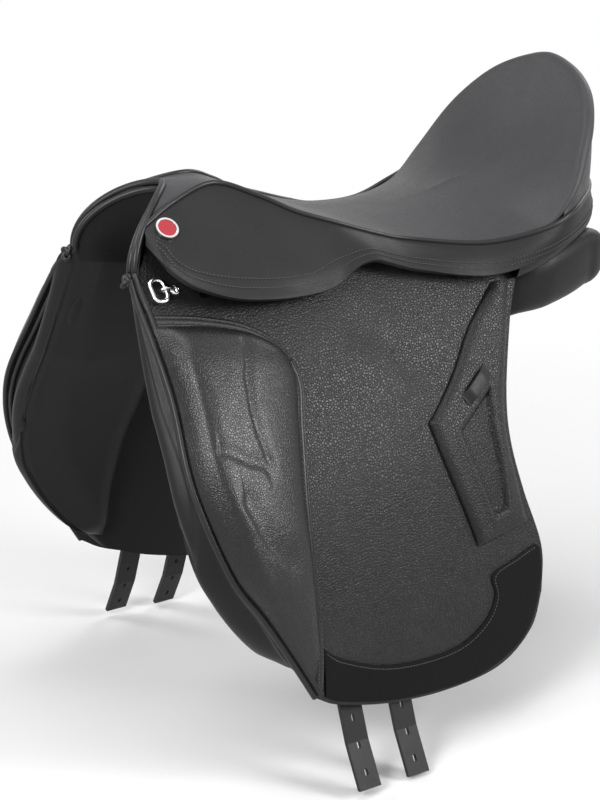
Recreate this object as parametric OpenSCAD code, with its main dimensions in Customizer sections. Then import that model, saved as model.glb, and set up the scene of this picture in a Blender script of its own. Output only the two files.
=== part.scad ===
// Dressage saddle: tree, seat, skirts, flaps, panels, girth straps and fittings.
// Millimetres. X runs forward to the pommel, Y to the near side, Z up.
// The origin is on the centre plane, at the level where the panels bear on the back.

/* [Seat] */
// Length from the skirt button back to the cantle
seat_reach = 452; // [430:1:480]
// Height of the rim of the cantle
cantle_h = 232; // [216:1:240]
// Height of the lowest part of the seat
seat_low = 113; // [110:1:118]
// Thickness of the seat leather
cover_t = 2.4; // [1.6:0.1:2.6]
// Foam thickness in the middle of the seat
foam_t = 20; // [12:1:22]
// Radius of the welt between seat and skirts
welt_r = 2.3; // [1.6:0.1:2.8]

/* [Skirts] */
// Thickness of the skirt leather
skirt_t = 4; // [3:0.1:5]
// Radius of the button on each skirt
button_r = 10; // [7:0.5:11]
// Height of the button
button_h = 2.6; // [2:0.1:4]

/* [Flaps] */
// Width of a flap along its fold line
flap_w = 372; // [356:1:384]
// Drop of a flap below its fold line
flap_drop = 342; // [320:1:370]
// Outward reach of the lower edge of a flap below the seat, from the centre plane
flap_reach = 196; // [186:1:210]
// Thickness of the flap leather
flap_t = 4.5; // [3.5:0.1:5.5]
// Width of the strip of flap that stays nailed under the skirt
head_w = 14; // [10:1:15]
// Thickness of the hem leather
hem_t = 1.4; // [1:0.1:2]

// Distance that straps and sweat flap hang inside the curve of the flap at its lower edge
hang_in = 14; // [8:1:18]

/* [Leg blocks] */
// Thickness of the block at its thickest
block_h = 20; // [12:1:26]
// Thickness of the leather over the block
block_cover_t = 2; // [1.4:0.1:2.6]

/* [Rear pads] */
// Thickness of the padded patch at the back of the flap
pad_h = 6; // [5:0.5:8]
// Depth of the recess in the patch
kite_depth = 2.5; // [1:0.5:3]
// Length of the keeper for the end of the stirrup leather
keeper_len = 38; // [32:1:42]
// Width of the keeper
keeper_w = 11; // [8:1:12]
// Thickness of the keeper
keeper_t = 2.5; // [2:0.1:3]

/* [Panels] */
// Thickness of the sweat flap
sweat_t = 3.5; // [2.5:0.1:4]
// Thickness of the stuffed pad on the sweat flap
roll_t = 26; // [20:1:30]
// Width of the channel between the panels
channel_w = 72; // [64:1:78]
// Thickness of the lining over the channel
lining_t = 1.6; // [1:0.1:2]

/* [Tree] */
// Thickness of the side bars of the tree
bar_t = 10.2; // [8:0.1:10.3]
// Thickness of the wooden head
head_t = 7; // [6:0.1:7.5]
// Thickness of the steel plate over the head
plate_t = 2; // [1.5:0.1:2.4]
// Thickness of the seat webbing
web_t = 2; // [1.2:0.1:2.4]

/* [Stirrup bars] */
// Length of the riveted plate
iron_len = 96; // [90:1:104]
// Thickness of the riveted plate
iron_t = 3; // [2.5:0.1:4]
// Gap for the stirrup leather between plate and bar
iron_gap = 8; // [7:0.5:9]
// Height of the bar
iron_h = 6; // [5:0.1:6.5]
// Length of the hinged catch behind the bar
catch_len = 20; // [16:1:22]
// Radius of the rivets of the bar
iron_rivet_r = 2; // [1.5:0.1:2.5]

/* [Girth straps] */
// Width of a girth strap
strap_w = 22; // [18:1:25]
// Thickness of a girth strap
strap_t = 4; // [3:0.1:4.5]
// Distance between the front and the rear strap
strap_gap = 54; // [50:1:60]
// Length of strap that shows below the flap
strap_show = 70; // [60:1:120]
// Distance between buckle holes
hole_pitch = 24; // [20:1:28]
// Number of buckle holes
hole_count = 3; // [2:1:4]
// Width of a buckle hole
hole_w = 3.2; // [2.5:0.1:4.5]
// Length of a buckle hole
hole_len = 7; // [5:0.5:9]
// Radius of the rivet that holds a strap
strap_rivet_r = 3; // [2:0.1:4]
// Thickness of the girth web
girth_web_t = 2.5; // [1.5:0.1:2.8]

/* [Dee rings] */
// Radius of the wire of a ring
dee_wire = 1.8; // [1.4:0.1:2.2]
// Radius of the bow of a ring
dee_bow = 10; // [8:0.5:12]
// Straight part of the ring between its bar and its bow
dee_leg = 2.5; // [1:0.5:5]

/* [Hidden] */

// Clearance between pieces that lie on each other
fit = 0.2;
leather = [0.07, 0.07, 0.08];
soft = [0.12, 0.12, 0.13];
wood = [0.55, 0.4, 0.24];
steel = [0.75, 0.76, 0.78];
red = [0.75, 0.05, 0.06];

// Small functions
function mix(a, b, t) = a + (b - a) * t;
function clamp(t) = min(max(t, 0), 1);
function ease(t) = let (c = clamp(t)) c * c * (3 - 2 * c);
function unit(v) = v / norm(v);
function flip_y(p) = [p[0], -p[1], p[2]];

// Smooth curve through a list of points; s counts points from 0
function curve(p, s) =
    let (
        n = len(p) - 1,
        c = min(max(s, 0), n),
        i = min(floor(c), n - 1),
        f = c - i,
        a = i > 0 ? p[i - 1] : 2 * p[0] - p[1],
        b = p[i],
        d = p[i + 1],
        e = i + 2 <= n ? p[i + 2] : 2 * p[n] - p[n - 1]
    )
    0.5 * (2 * b + (d - a) * f + (2 * a - 5 * b + 4 * d - e) * f * f + (3 * b - a - 3 * d + e) * f * f * f);

// Smooth value from a list of [x, value] pairs with x rising
function table(t, x) =
    let (
        n = len(t) - 1,
        c = min(max(x, t[0][0]), t[n][0]),
        i = max([for (k = [0:n - 1]) if (t[k][0] <= c) k]),
        h = t[i + 1][0] - t[i][0],
        f = (c - t[i][0]) / h,
        a = t[max(i - 1, 0)],
        b = t[i],
        d = t[i + 1],
        e = t[min(i + 2, n)],
        ma = (d[1] - a[1]) / (d[0] - a[0]),
        mb = (e[1] - b[1]) / (e[0] - b[0])
    )
    (2 * f * f * f - 3 * f * f + 1) * b[1] + (f * f * f - 2 * f * f + f) * h * ma
    + (3 * f * f - 2 * f * f * f) * d[1] + (f * f * f - f * f) * h * mb;

// Patch between four edges: top, bottom, left and right
function coons(t, b, l, r, u, v) =
    let (m = len(t) - 1, n = len(b) - 1)
    (1 - v) * curve(t, u * m) + v * curve(b, u * n)
    + (1 - u) * curve(l, v * (len(l) - 1)) + u * curve(r, v * (len(r) - 1))
    - ((1 - u) * (1 - v) * t[0] + u * (1 - v) * t[m] + (1 - u) * v * b[0] + u * v * b[n]);

// Closed solid between two grids of points with the same rows and columns
module slab(a, b) {
    r = len(a);
    c = len(a[0]);
    n = r * c;
    i0 = floor((r - 1) / 2);
    j0 = floor((c - 1) / 2);
    way = cross(a[i0 + 1][j0] - a[i0][j0], a[i0][j0 + 1] - a[i0][j0]) * (a[i0][j0] - b[i0][j0]);
    quads = concat(
        [for (i = [0:r - 2]) for (j = [0:c - 2])
            [i * c + j, i * c + j + 1, (i + 1) * c + j + 1, (i + 1) * c + j]],
        [for (i = [0:r - 2]) for (j = [0:c - 2])
            [n + i * c + j, n + (i + 1) * c + j, n + (i + 1) * c + j + 1, n + i * c + j + 1]],
        [for (i = [0:r - 2]) [i * c, (i + 1) * c, n + (i + 1) * c, n + i * c]],
        [for (i = [0:r - 2]) [i * c + c - 1, n + i * c + c - 1, n + (i + 1) * c + c - 1, (i + 1) * c + c - 1]],
        [for (j = [0:c - 2]) [j, n + j, n + j + 1, j + 1]],
        [for (j = [0:c - 2])
            [(r - 1) * c + j, (r - 1) * c + j + 1, n + (r - 1) * c + j + 1, n + (r - 1) * c + j]]
    );
    tris = [for (q = quads) each [[q[0], q[1], q[2]], [q[0], q[2], q[3]]]];
    polyhedron(
        points = concat([for (row = a) each row], [for (row = b) each row]),
        faces = [for (f = tris) way > 0 ? f : [f[2], f[1], f[0]]],
        convexity = 8
    );
}

// Closed solid through a list of rings, each turning left as seen from its far end
module loft(rings) {
    m = len(rings);
    n = len(rings[0]);
    first = m * n;
    sides = [for (k = [0:m - 2]) for (i = [0:n - 1]) let (j = (i + 1) % n)
        each [[k * n + i, (k + 1) * n + j, k * n + j], [k * n + i, (k + 1) * n + i, (k + 1) * n + j]]];
    caps = [for (i = [0:n - 1]) let (j = (i + 1) % n)
        each [[first, i, j], [first + 1, (m - 1) * n + j, (m - 1) * n + i]]];
    middle = [for (k = [0, m - 1]) [for (a = [0:2]) [for (p = rings[k]) p[a]] * [for (p = rings[k]) 1 / n]]];
    polyhedron(points = concat([for (g = rings) each g], middle), faces = concat(sides, caps), convexity = 8);
}

// Round cord along a path; up is any direction the path never follows
module cord(path, r, up, n) {
    m = len(path) - 1;
    loft([for (i = [0:m])
        let (
            t = unit(path[min(i + 1, m)] - path[max(i - 1, 0)]),
            a = unit(cross(up, t)),
            b = cross(t, a)
        )
        [for (k = [0:n - 1]) path[i] + r * (cos(360 * k / n) * a + sin(360 * k / n) * b)]]);
}

module both() {
    children();
    mirror([0, 1, 0]) children();
}

// Places children in a frame given by its origin, its X direction and its Z direction
module place(o, ex, ez) {
    x = unit(ex);
    y = unit(cross(ez, x));
    z = cross(x, y);
    multmatrix([[x[0], y[0], z[0], o[0]], [x[1], y[1], z[1], o[1]], [x[2], y[2], z[2], o[2]], [0, 0, 0, 1]])
        children();
}

// The back half of the saddle stretches with the seat
button_x = 194;
rear_k = (seat_reach - button_x) / 258;
function lx(x) = x < 0 ? x * rear_k : x;
function lp(p) = [lx(p[0]), p[1], p[2]];

// Flap: the fold line is straight; d is the drop below it and n the distance outward from its face
fold_front = [228, 76, 81];
fold_back = [228 - flap_w, 103, 53];
flare_table = [[-180, -18], [-112, -10], [0, 0], [100, 6], [149, 11], [230, 21]];
flap_bow = 2.2;
function fold_at(x) = mix(fold_front, fold_back, (fold_front[0] - x) / flap_w);
function flap_pt(x, d) =
    let (f = fold_at(x), w = flap_reach + table(flare_table, x) - f[1], t = d / flap_drop)
    [x, f[1] + w * (d < 0 ? flap_bow * t : 1 - pow(max(1 - t, 0), flap_bow)), f[2] - d];
function flap_n(x, d) =
    unit(cross(flap_pt(x + 1, d) - flap_pt(x - 1, d), flap_pt(x, d + 1) - flap_pt(x, d - 1)));
function lay(x, d, n) = flap_pt(x, d) + n * flap_n(x, d);
// Place on the flap, from a shape drawn for a flap 372 wide and 342 deep
function on_flap(p) = [228 - (228 - p[0]) * flap_w / 372, p[1] * flap_drop / 342];
function shape(l) = [for (p = l) on_flap(p)];
function grid(t, b, l, r, us, vs) = [for (v = vs) [for (u = us) coons(t, b, l, r, u, v)]];
function raise(g, n) = [for (row = g) [for (p = row) lay(p[0], p[1], n)]];
function steps(n) = [for (i = [0:n]) i / n];
// Straps and sweat flap hang a little inside the curve of the flap
function hang(d) = -hang_in * pow(max((d - 40) / (flap_drop - 40), 0), 2);
function raise_in(g, n) = [for (row = g) [for (p = row) lay(p[0], p[1], n + hang(p[1]))]];

flap_top = shape([[-144, 0.4], [228, 0.4]]);
flap_front = shape([[228, 0.4], [229, 58], [235, 126], [218, 195], [189, 240], [143, 315]]);
flap_rear = shape([[-144, 0.4], [-127, 32], [-106, 88], [-100, 130], [-107, 176], [-123, 230], [-121, 272]]);
flap_foot = shape([[-121, 272], [-107, 306], [-69, 333], [-8, 342], [61, 339.5], [117, 327.5], [143, 315]]);

// Layers inward from the face of the flap
web_n = -flap_t - 4;
strap_n = web_n - girth_web_t - 0.3;
sweat_n = strap_n - strap_t - 4;
roll_n = sweat_n - sweat_t - 0.35;
bar_n = -flap_t - 0.3 - bar_t;
roof_n = bar_n - 0.4;

module near_flap() {
    g = grid(flap_top, flap_foot, flap_rear, flap_front, steps(14), steps(12));
    color(leather) slab(raise(g, 0), raise(g, -flap_t));
}

nail_x = [167, -80, -100, -120];
nail_d = -8;
module nail_holes(r, n) {
    for (x = nail_x)
        place(lay(lx(x), nail_d, 0), [1, 0, 0], flap_n(lx(x), nail_d))
            translate([0, 0, n])
                cylinder(r = r, h = 30, $fn = 16);
}

// The strip under the skirt reaches higher at the notch of the skirt and at the pommel
head_rise = [[-128, 0], [-102, 4], [-74, 8], [-37, 14], [0, 22], [28, 12], [42, 0], [170, 0], [210, 12], [228, 12]];
module near_flap_head() {
    x0 = fold_back[0] + 16;
    xs = [for (i = [0:22]) mix(x0, 227, i / 22)];
    g = [for (v = steps(3)) [for (x = xs)
        let (w = head_w + table(head_rise, x)) [x - 6 * v * ease((x - 190) / 30), mix(-0.4, -w, v)]]];
    color(leather)
        difference() {
            slab(raise(g, 0), raise(g, -flap_t));
            nail_holes(1.75, -15);
            iron_frame()
                translate([-iron_len / 2 - 1, -8.6, -10])
                    cube([iron_len + 2, 17.2, 30]);
        }
}

module flap_nails() {
    color(steel)
        both()
            for (x = nail_x)
                place(lay(lx(x), nail_d, 0), [1, 0, 0], flap_n(lx(x), nail_d)) {
                    translate([0, 0, fit])
                        cylinder(r = 4, h = 1.3, $fn = 20);
                    translate([0, 0, -flap_t - 5])
                        cylinder(r = 1.55, h = flap_t + 5 + fit, $fn = 16);
                }
}

// Block cover and block
cover_top = shape([[109, 45], [121, 29], [144, 17], [178, 10], [208, 7], [225, 6]]);
cover_front = shape([[225, 6], [226.5, 58], [232.5, 126], [216, 193], [187, 237], [141.5, 310]]);
cover_rear = shape([[109, 45], [107, 64], [117, 97], [129, 149], [134, 197], [136, 247], [137, 282], [139.5, 309]]);
cover_foot = shape([[139.5, 309], [141.5, 310]]);
block_us = [0, 0.06, 0.14, 0.26, 0.42, 0.6, 0.76, 0.88, 0.95, 1];
block_vs = [0, 0.04, 0.09, 0.16, 0.24, 0.33, 0.42, 0.51, 0.6, 0.69, 0.78, 0.87, 0.95, 1];
function block_lift(u, v) =
    block_h * ease(u / 0.42) * ease((1 - u) / 0.2) * ease(v / 0.18) * ease((1 - v) / 0.5);
function block_face(us, vs, n) =
    [for (v = vs) [for (u = us)
        let (p = coons(cover_top, cover_foot, cover_rear, cover_front, u, v))
        lay(p[0], p[1], n + block_lift(u, v))]];
function block_base(us, vs, n) =
    raise(grid(cover_top, cover_foot, cover_rear, cover_front, us, vs), n);

module near_block_cover() {
    color(leather)
        slab(block_face(block_us, block_vs, fit + block_cover_t), block_face(block_us, block_vs, fit));
}

module near_leg_block() {
    us = [for (i = [2:7]) block_us[i]];
    vs = [for (i = [2:11]) block_vs[i]];
    color(soft) slab(block_face(us, vs, 0), block_base(us, vs, fit));
}

// Hem band along the lower edge
hem_in = shape([[133, 272], [115, 285], [72, 301], [27, 306], [-19, 302], [-50, 285], [-62, 264],
    [-60, 245], [-88, 235], [-114, 226]]);
hem_out = shape([[133, 316], [115, 324.5], [64, 336], [10, 339], [-42, 336], [-86, 319], [-107, 297],
    [-118, 264], [-120, 246], [-119.5, 231]]);
module near_flap_hem() {
    g = [for (v = steps(3)) [for (s = [0:0.5:9]) mix(curve(hem_in, s), curve(hem_out, s), v)]];
    color(leather) slab(raise(g, fit + hem_t), raise(g, fit));
}

// Padded patch at the back of the flap, with its recess and the keeper
patch_top = shape([[-128, 8], [-111, 8]]);
patch_front = shape([[-111, 8], [-89, 30], [-53, 71], [-16, 105], [-30, 154], [-43, 187], [-51, 218]]);
patch_rear = shape([[-128, 8], [-119, 38], [-100, 88], [-94, 128], [-101, 175], [-107, 202]]);
patch_foot = shape([[-107, 202], [-78, 211], [-51, 218]]);
kite = shape([[-92, 86], [-47, 119], [-68, 193], [-89, 190], [-83, 157], [-81, 120]]);
keeper_mid = on_flap([-68, 82]);
keeper_dir = [0.8, 0.6];
keeper_side = [-0.6, 0.8];
function patch_grid(n) = raise(grid(patch_top, patch_foot, patch_rear, patch_front, steps(6), steps(12)), n);

// Upright prism through the flap, over an outline in flap places
module through(outline) {
    translate([0, 260, 0])
        rotate([90, 0, 0])
            linear_extrude(180)
                polygon([for (p = outline) [p[0], flap_pt(p[0], p[1])[2]]]);
}

function keeper_box(a, b) =
    [for (c = [[-a, -b], [a, -b], [a, b], [-a, b]]) keeper_mid + c[0] * keeper_dir + c[1] * keeper_side];

module near_rear_pad() {
    color(leather)
        difference() {
            slab(patch_grid(fit + pad_h), patch_grid(fit));
            intersection() {
                through(kite);
                slab(patch_grid(fit + pad_h + 4), patch_grid(fit + pad_h - kite_depth));
            }
            through(keeper_box(keeper_len / 2 - 4, keeper_w / 2 + 6));
        }
}

module near_keeper() {
    n0 = pad_h + 2 * fit;
    g = [for (b = steps(4)) [for (a = steps(8))
        let (p = keeper_mid + (a - 0.5) * keeper_len * keeper_dir + (b - 0.5) * keeper_w * keeper_side) p]];
    color(leather) slab(raise(g, n0 + keeper_t), raise(g, n0));
}

// Sweat flap and the stuffed pad sewn on its inner side
sweat_top = shape([[-84, 36], [50, 36], [224, 20]]);
sweat_front = shape([[224, 20], [225, 60], [231, 128], [214, 195], [186, 238], [146, 300]]);
sweat_rear = shape([[-84, 36], [-78, 80], [-80, 128], [-89, 180], [-101, 227], [-104, 258]]);
sweat_foot = shape([[-104, 258], [-92, 298], [-54, 327], [-7, 337], [40, 334], [109, 318], [146, 300]]);
module near_sweat_flap() {
    g = grid(sweat_top, sweat_foot, sweat_rear, sweat_front, steps(12), steps(12));
    color(leather) slab(raise_in(g, sweat_n), raise_in(g, sweat_n - sweat_t));
}

roll_d = 62;
roll_top = shape([[98, roll_d], [225, roll_d]]);
roll_front = shape([[225, roll_d], [224, 98], [226, 140], [219, 190], [208, 218], [192, 250], [168, 284]]);
roll_rear = shape([[98, roll_d], [103, 100], [108, 136], [116, 170], [121, 204], [127, 240], [136, 273], [150, 288]]);
roll_foot = shape([[150, 288], [168, 284]]);
function roll_lift(u, v) = 5 + (roll_t - 5) * sqrt(ease(u / 0.5 + 0.05)) * sqrt(ease((1 - v) / 0.4 + 0.08));
module near_panel_roll() {
    us = [0, 0.08, 0.2, 0.36, 0.54, 0.72, 0.87, 0.95, 1];
    vs = [0, 0.08, 0.18, 0.3, 0.42, 0.54, 0.66, 0.77, 0.87, 0.95, 1];
    g = grid(roll_top, roll_foot, roll_rear, roll_front, us, vs);
    inner = [for (j = [0:len(vs) - 1]) [for (i = [0:len(us) - 1])
        lay(g[j][i][0], g[j][i][1], roll_n + hang(g[j][i][1]) - roll_lift(us[i], vs[j]) * (us[i] > 0.94 ? 0.9 : 1))]];
    color(leather) slab(raise_in(g, roll_n), inner);
}

// Panel: four corners of its section at x
panel_y = channel_w / 2;
corner_ay = [[-272, 6], [-248, 2], [-190, 0], [0, 0], [130, 1], [180, 4], [222, 8]];
corner_az = [[-272, 78], [-252, 72], [-190, 77], [0, 77], [80, 77], [130, 82], [180, 87], [222, 95]];
corner_by = [[-272, 10], [-248, 5], [-190, 2], [60, 2]];
corner_bz = [[-272, 50], [-250, 34], [-190, 22], [-100, 17], [0, 16], [60, 18]];
corner_cy = [[-272, 72], [-252, 88], [-190, 102], [-150, 102]];
corner_cz = [[-272, 46], [-252, 27], [-190, 13], [-150, 12]];
corner_dy = [[-272, 74], [-252, 92], [-190, 108], [-160, 104]];
corner_dz = [[-272, 90], [-252, 87], [-190, 76], [-160, 68]];
function yz(p) = [p[1], p[2]];
function corner_a(x) = [panel_y + table(corner_ay, x), table(corner_az, x)];
function corner_b(x) =
    mix([panel_y + table(corner_by, x), table(corner_bz, x)],
        yz(lay(max(x, 100), roll_d - 1, roll_n - roll_t + 2)), ease((x - 50) / 80));
// Drop on the flap and depth behind it of the lower outer corner
function corner_c(x) =
    mix([table(corner_cy, x), table(corner_cz, x)],
        yz(lay(lx(max(x, -120)), mix(38, roll_d - 1, ease((x + 100) / 160)), roll_n - 8)), ease((x + 160) / 50));
function corner_d(x) =
    mix([table(corner_dy, x), table(corner_dz, x)], yz(lay(lx(max(x, -130)), -6, roof_n)), ease((x + 168) / 38));
function bulge(t) = sign(t) * pow(abs(t), 0.6);
function panel_ring(x, n) =
    let (a = corner_a(x), b = corner_b(x), c = corner_c(x), d = corner_d(x))
    [for (i = [0:n - 1])
        let (
            u = (bulge(cos(360 * i / n)) + 1) / 2,
            v = (bulge(sin(360 * i / n)) + 1) / 2,
            p = mix(mix(b, c, u), mix(a, d, u), v)
        )
        [lx(x), p[0], p[1]]];
panel_xs = [-272, -266, -253, -232, -200, -175, -160, -145, -130, -115, -80, -40, 0, 35, 65, 90, 115, 140, 170, 200, 216, 222];
module near_panel() {
    color(leather) loft([for (x = panel_xs) panel_ring(x, 20)]);
}

// Vault over the channel and under the head: k counts rows back from the pommel, a turns from the middle
vault_xc = [[0, 163], [1, 150], [2, 110], [3, 60], [4, 0], [5, -130], [6, -258]];
vault_zc = [[0, 158], [1, 131], [2, 115], [3, 95], [4, 80], [5, 78.5], [6, 78.5]];
vault_xe = [[0, 221], [1, 196], [2, 138], [3, 68], [4, 0], [5, -130], [6, -258]];
vault_ye = [[0, 11], [1, 1.5], [2, -2], [3, -2.2], [4, -2.4], [5, -2.4], [6, -2.4]];
vault_ze = [[0, 104], [1, 97], [2, 87], [3, 78.5], [4, 76], [5, 76], [6, 75]];
function vault(k, a) =
    let (s = abs(sin(a)))
    [
        lx(table(vault_xc, k)) + (table(vault_xe, k) - table(vault_xc, k)) * pow(s, 1.4),
        (panel_y + table(vault_ye, k)) * sin(a),
        table(vault_ze, k) + (table(vault_zc, k) - table(vault_ze, k)) * cos(a)
    ];
function vault_n(k, a) =
    unit(cross(vault(k - 0.02, a) - vault(k + 0.02, a), vault(k, a + 1) - vault(k, a - 1)));
function vault_at(k, a, n) = vault(k, a) + n * vault_n(max(k, 0.02), a);
vault_as = [-86, -76, -64, -52, -38, -20, 0, 20, 38, 52, 64, 76, 86];

module gullet_lining() {
    ks = [0.12, 0.4, 0.7, 1, 1.35, 1.7, 2.1, 2.5, 3, 3.5, 4, 5, 6];
    color(leather)
        slab(
            [for (k = ks) [for (a = vault_as) vault_at(k, a, lining_t)]],
            [for (k = ks) [for (a = vault_as) vault_at(k, a, 0)]]
        );
}

module pommel_welt() {
    as = [-90, -84, -76, -64, -52, -38, -20, 0, 20, 38, 52, 64, 76, 84, 90];
    color(leather) cord([for (a = as) vault(0, a)], 2.6, [1, 0, 0.2], 8);
}

head_ks = [0.92, 1.1, 1.3, 1.5];
module gullet_plate() {
    as = [for (a = vault_as) if (abs(a) < 80) a];
    n0 = lining_t + 0.5 + head_t + fit;
    color(steel)
        difference() {
            slab(
                [for (k = head_ks) [for (a = as) vault_at(k, a, n0 + plate_t)]],
                [for (k = head_ks) [for (a = as) vault_at(k, a, n0)]]
            );
            plate_holes(1.75, -20, 40);
        }
}

module plate_holes(r, n, h) {
    for (a = [-60, -25, 25, 60])
        place(vault_at(1.2, a, lining_t + head_t + plate_t + 1.3), [1, 0, 0], vault_n(1.2, a))
            translate([0, 0, n])
                cylinder(r = r, h = h, $fn = 16);
}

module plate_rivets() {
    color(steel) {
        for (a = [-60, -25, 25, 60])
            place(vault_at(1.2, a, lining_t + head_t + plate_t + 1.3), [1, 0, 0], vault_n(1.2, a))
                cylinder(r = 2.6, h = 1, $fn = 20);
        plate_holes(1.55, -6, 6.4);
    }
}

// Seat: rim line of the near half, from the front tip along the seam to the middle of the cantle
function rim_z(f) = mix(105, cantle_h, f);
seam = [for (p = [
    [205, 42, 140], [170, 33, 155], [125, 23, 163], [89, 37, 150], [60, 51, 135], [30, 61, 124],
    [-12, 70, 109], [-45, 75, 100], [-110, 99, 92], [-165, 116, 100]]) lp(p)];
rim = [for (p = [
    [-195, 116, rim_z(0.18)], [-217, 102, rim_z(0.47)], [-234, 86, rim_z(0.67)], [-248, 64, rim_z(0.83)],
    [-257, 34, rim_z(0.94)], [-258, 0, rim_z(1)]]) lp(p)];
half_edge = concat(seam, rim);
middle = len(half_edge) - 1;
edge = concat(half_edge, [for (i = [middle - 1:-1:0]) flip_y(half_edge[i])]);
spine_x = [157, 147, 125, 92, 64, 36, 0, -30, -80, -110, -120, -128, -134, -140, -146, -150];
crest = [[-150, 12], [-110, 3.5], [-60, 0], [-12, 3], [20, 9], [62, 26], [97, 41], [123, 49.5], [143, 51], [157, 50]];
function spine(s) =
    let (c = max(min(s, 2 * middle - s), 0), i = min(floor(c), middle - 1), x = mix(spine_x[i], spine_x[i + 1], c - i))
    [lx(x), 0, seat_low + table(crest, x)];
function seat_pt(s, w) =
    let (b = curve(edge, s), m = spine(s))
    [mix(b[0], m[0], w), b[1] * (1 - w), m[2] + (b[2] - m[2]) * pow(1 - w, 2.2)];
function seat_n(s, w) =
    let (
        c = min(w, 0.97),
        n = cross(seat_pt(s + 0.06, c) - seat_pt(s - 0.06, c), seat_pt(s, c + 0.02) - seat_pt(s, max(c - 0.02, 0)))
    )
    unit(w > 0.99 || s > middle - 0.01 ? [n[0], 0, n[2]] : n);
function seat_at(s, w, n) = seat_pt(s, w) + n * seat_n(s, w);
// Share of a row taken up by the welt at its edge
function seat_from(s) = (welt_r + 1.5) / norm(curve(edge, s) - spine(s));
seat_ss = [0.08, 0.4, 0.8, 1.2, 1.6, 2, 2.4, 3, 4, 5, 6, 7, 7.5, 8, 8.5, 9, 9.5, 10, 10.5, 11, 11.5, 12, 12.5, 13, 14, 15];
seat_ws = [0, 0.06, 0.14, 0.26, 0.42, 0.6, 0.8, 1];
function foam_lift(s, w) = 2 + (mix(12, foam_t, ease((s - 2) / 3)) - 2) * ease(w / 0.6);
function seat_grid(ss, ws, n) =
    [for (s = ss) [for (w = ws) seat_at(s, mix(seat_from(s), 1, w), -n)]];
function foam_grid(ss, ws, n) =
    [for (s = ss) [for (w = ws) seat_at(s, mix(seat_from(s), 1, w), -n - foam_lift(s, w))]];

module seat_cover() {
    color(leather) both() slab(seat_grid(seat_ss, seat_ws, 0), seat_grid(seat_ss, seat_ws, cover_t));
}

foam_ws = [for (i = [1:7]) seat_ws[i]];
foam_ss = [for (s = seat_ss) if (s >= 0.4) s];
module seat_foam() {
    color(soft)
        both()
            slab(seat_grid(foam_ss, foam_ws, cover_t + fit), foam_grid(foam_ss, foam_ws, cover_t + fit));
}

module seat_web() {
    ss = [for (s = seat_ss) if (s >= 1.2 && s <= 9) s];
    ws = [for (w = seat_ws) if (w >= 0.6) w];
    n = cover_t + 2 * fit;
    color(wood) both() slab(foam_grid(ss, ws, n), foam_grid(ss, ws, n + web_t));
}

// Top edge and lower edge of the skirt and of the band behind it
band_top = [for (p = [
    [-195, 116, 110], [-222, 101, 116], [-243, 84, 119], [-261, 62, 121], [-275, 34, 123], [-280, 0, 124]]) lp(p)];
skirt_top = concat(seam, band_top);
tip = [209, 52, 128];
bend_front = [206, 70, 119];
bend_back = [32, 98, 88];
bend_at = 0.4;
// Half of the gap left open along the bend line
bend_gap = 1.05;
notch = 5;
band_foot = [for (p = [
    [32, 98, 88], [4, 99, 95], [-37, 104, 80], [-102, 114, 66], [-152, 121, 72], [-190, 116, 80],
    [-224, 102, 87], [-248, 84, 92], [-267, 62, 94], [-281, 34, 95], [-285, 0, 95]]) lp(p)];
function skirt_foot(s) =
    s < bend_at ? mix(tip, bend_front, s / bend_at)
    : s < notch ? mix(bend_front, bend_back, (s - bend_at) / (notch - bend_at))
    : curve(band_foot, s - notch);
top_end = len(skirt_top) - 1;
top_loop = concat(skirt_top, [for (i = [top_end - 1:-1:0]) flip_y(skirt_top[i])]);
function skirt_pt(s, v) =
    let (a = curve(top_loop, s), b = skirt_foot(s), from = (welt_r + 0.5) / norm(b - a), to = 1 - bend_gap / norm(b - a))
    mix(a, b, mix(from, to, v));
function skirt_n(s, v) =
    let (n = cross(skirt_pt(s - 0.05, v) - skirt_pt(s + 0.05, v), skirt_pt(s, v + 0.05) - skirt_pt(s, v - 0.05)))
    unit(n);
function skirt_at(s, v, n) = skirt_pt(s, v) + n * skirt_n(min(max(s, 0.06), top_end - 0.06), v);
skirt_ss = [0.02, 0.4, 0.8, 1.2, 1.6, 2, 2.4, 3, 3.5, 4, 4.5, 5, 5.5, 6, 6.5, 7, 7.5, 8, 8.5, 9, 9.5, 10,
    10.5, 11, 11.5, 12, 12.5, 13, 13.5, 14, 14.5, 14.99];
module near_skirt() {
    color(leather)
        slab(
            [for (s = skirt_ss) [for (v = steps(3)) skirt_at(s, v, 0)]],
            [for (s = skirt_ss) [for (v = steps(3)) skirt_at(s, v, -skirt_t)]]
        );
}

// Free lobe of the skirt below its bend line
lobe_foot = [bend_front, [186, 97, 99], [150, 103, 85], [100, 104, 77], [60, 101, 76], bend_back];
function lobe_pt(t, v) =
    let (a = mix(bend_front, bend_back, t), b = curve(lobe_foot, t * 5), from = bend_gap / norm(b - a))
    mix(a, b, mix(from, 1, v));
function lobe_n(t, v) =
    unit(cross(lobe_pt(t - 0.01, v) - lobe_pt(t + 0.01, v), lobe_pt(t, v + 0.05) - lobe_pt(t, v - 0.05)));
lobe_ts = [0.03, 0.08, 0.15, 0.25, 0.35, 0.45, 0.55, 0.65, 0.75, 0.85, 0.92, 0.97];
module near_skirt_lobe() {
    color(leather)
        slab(
            [for (t = lobe_ts) [for (v = steps(3)) lobe_pt(t, v)]],
            [for (t = lobe_ts) [for (v = steps(3)) lobe_pt(t, v) - skirt_t * lobe_n(t, v)]]
        );
}

module seat_welt() {
    half = [for (s = [0:0.5:top_end - 0.5]) curve(top_loop, s)];
    path = concat(half, [skirt_top[top_end]], [for (i = [len(half) - 1:-1:0]) flip_y(half[i])]);
    color(leather) cord(path, welt_r, [0, 0, 1], 6);
}

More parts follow.
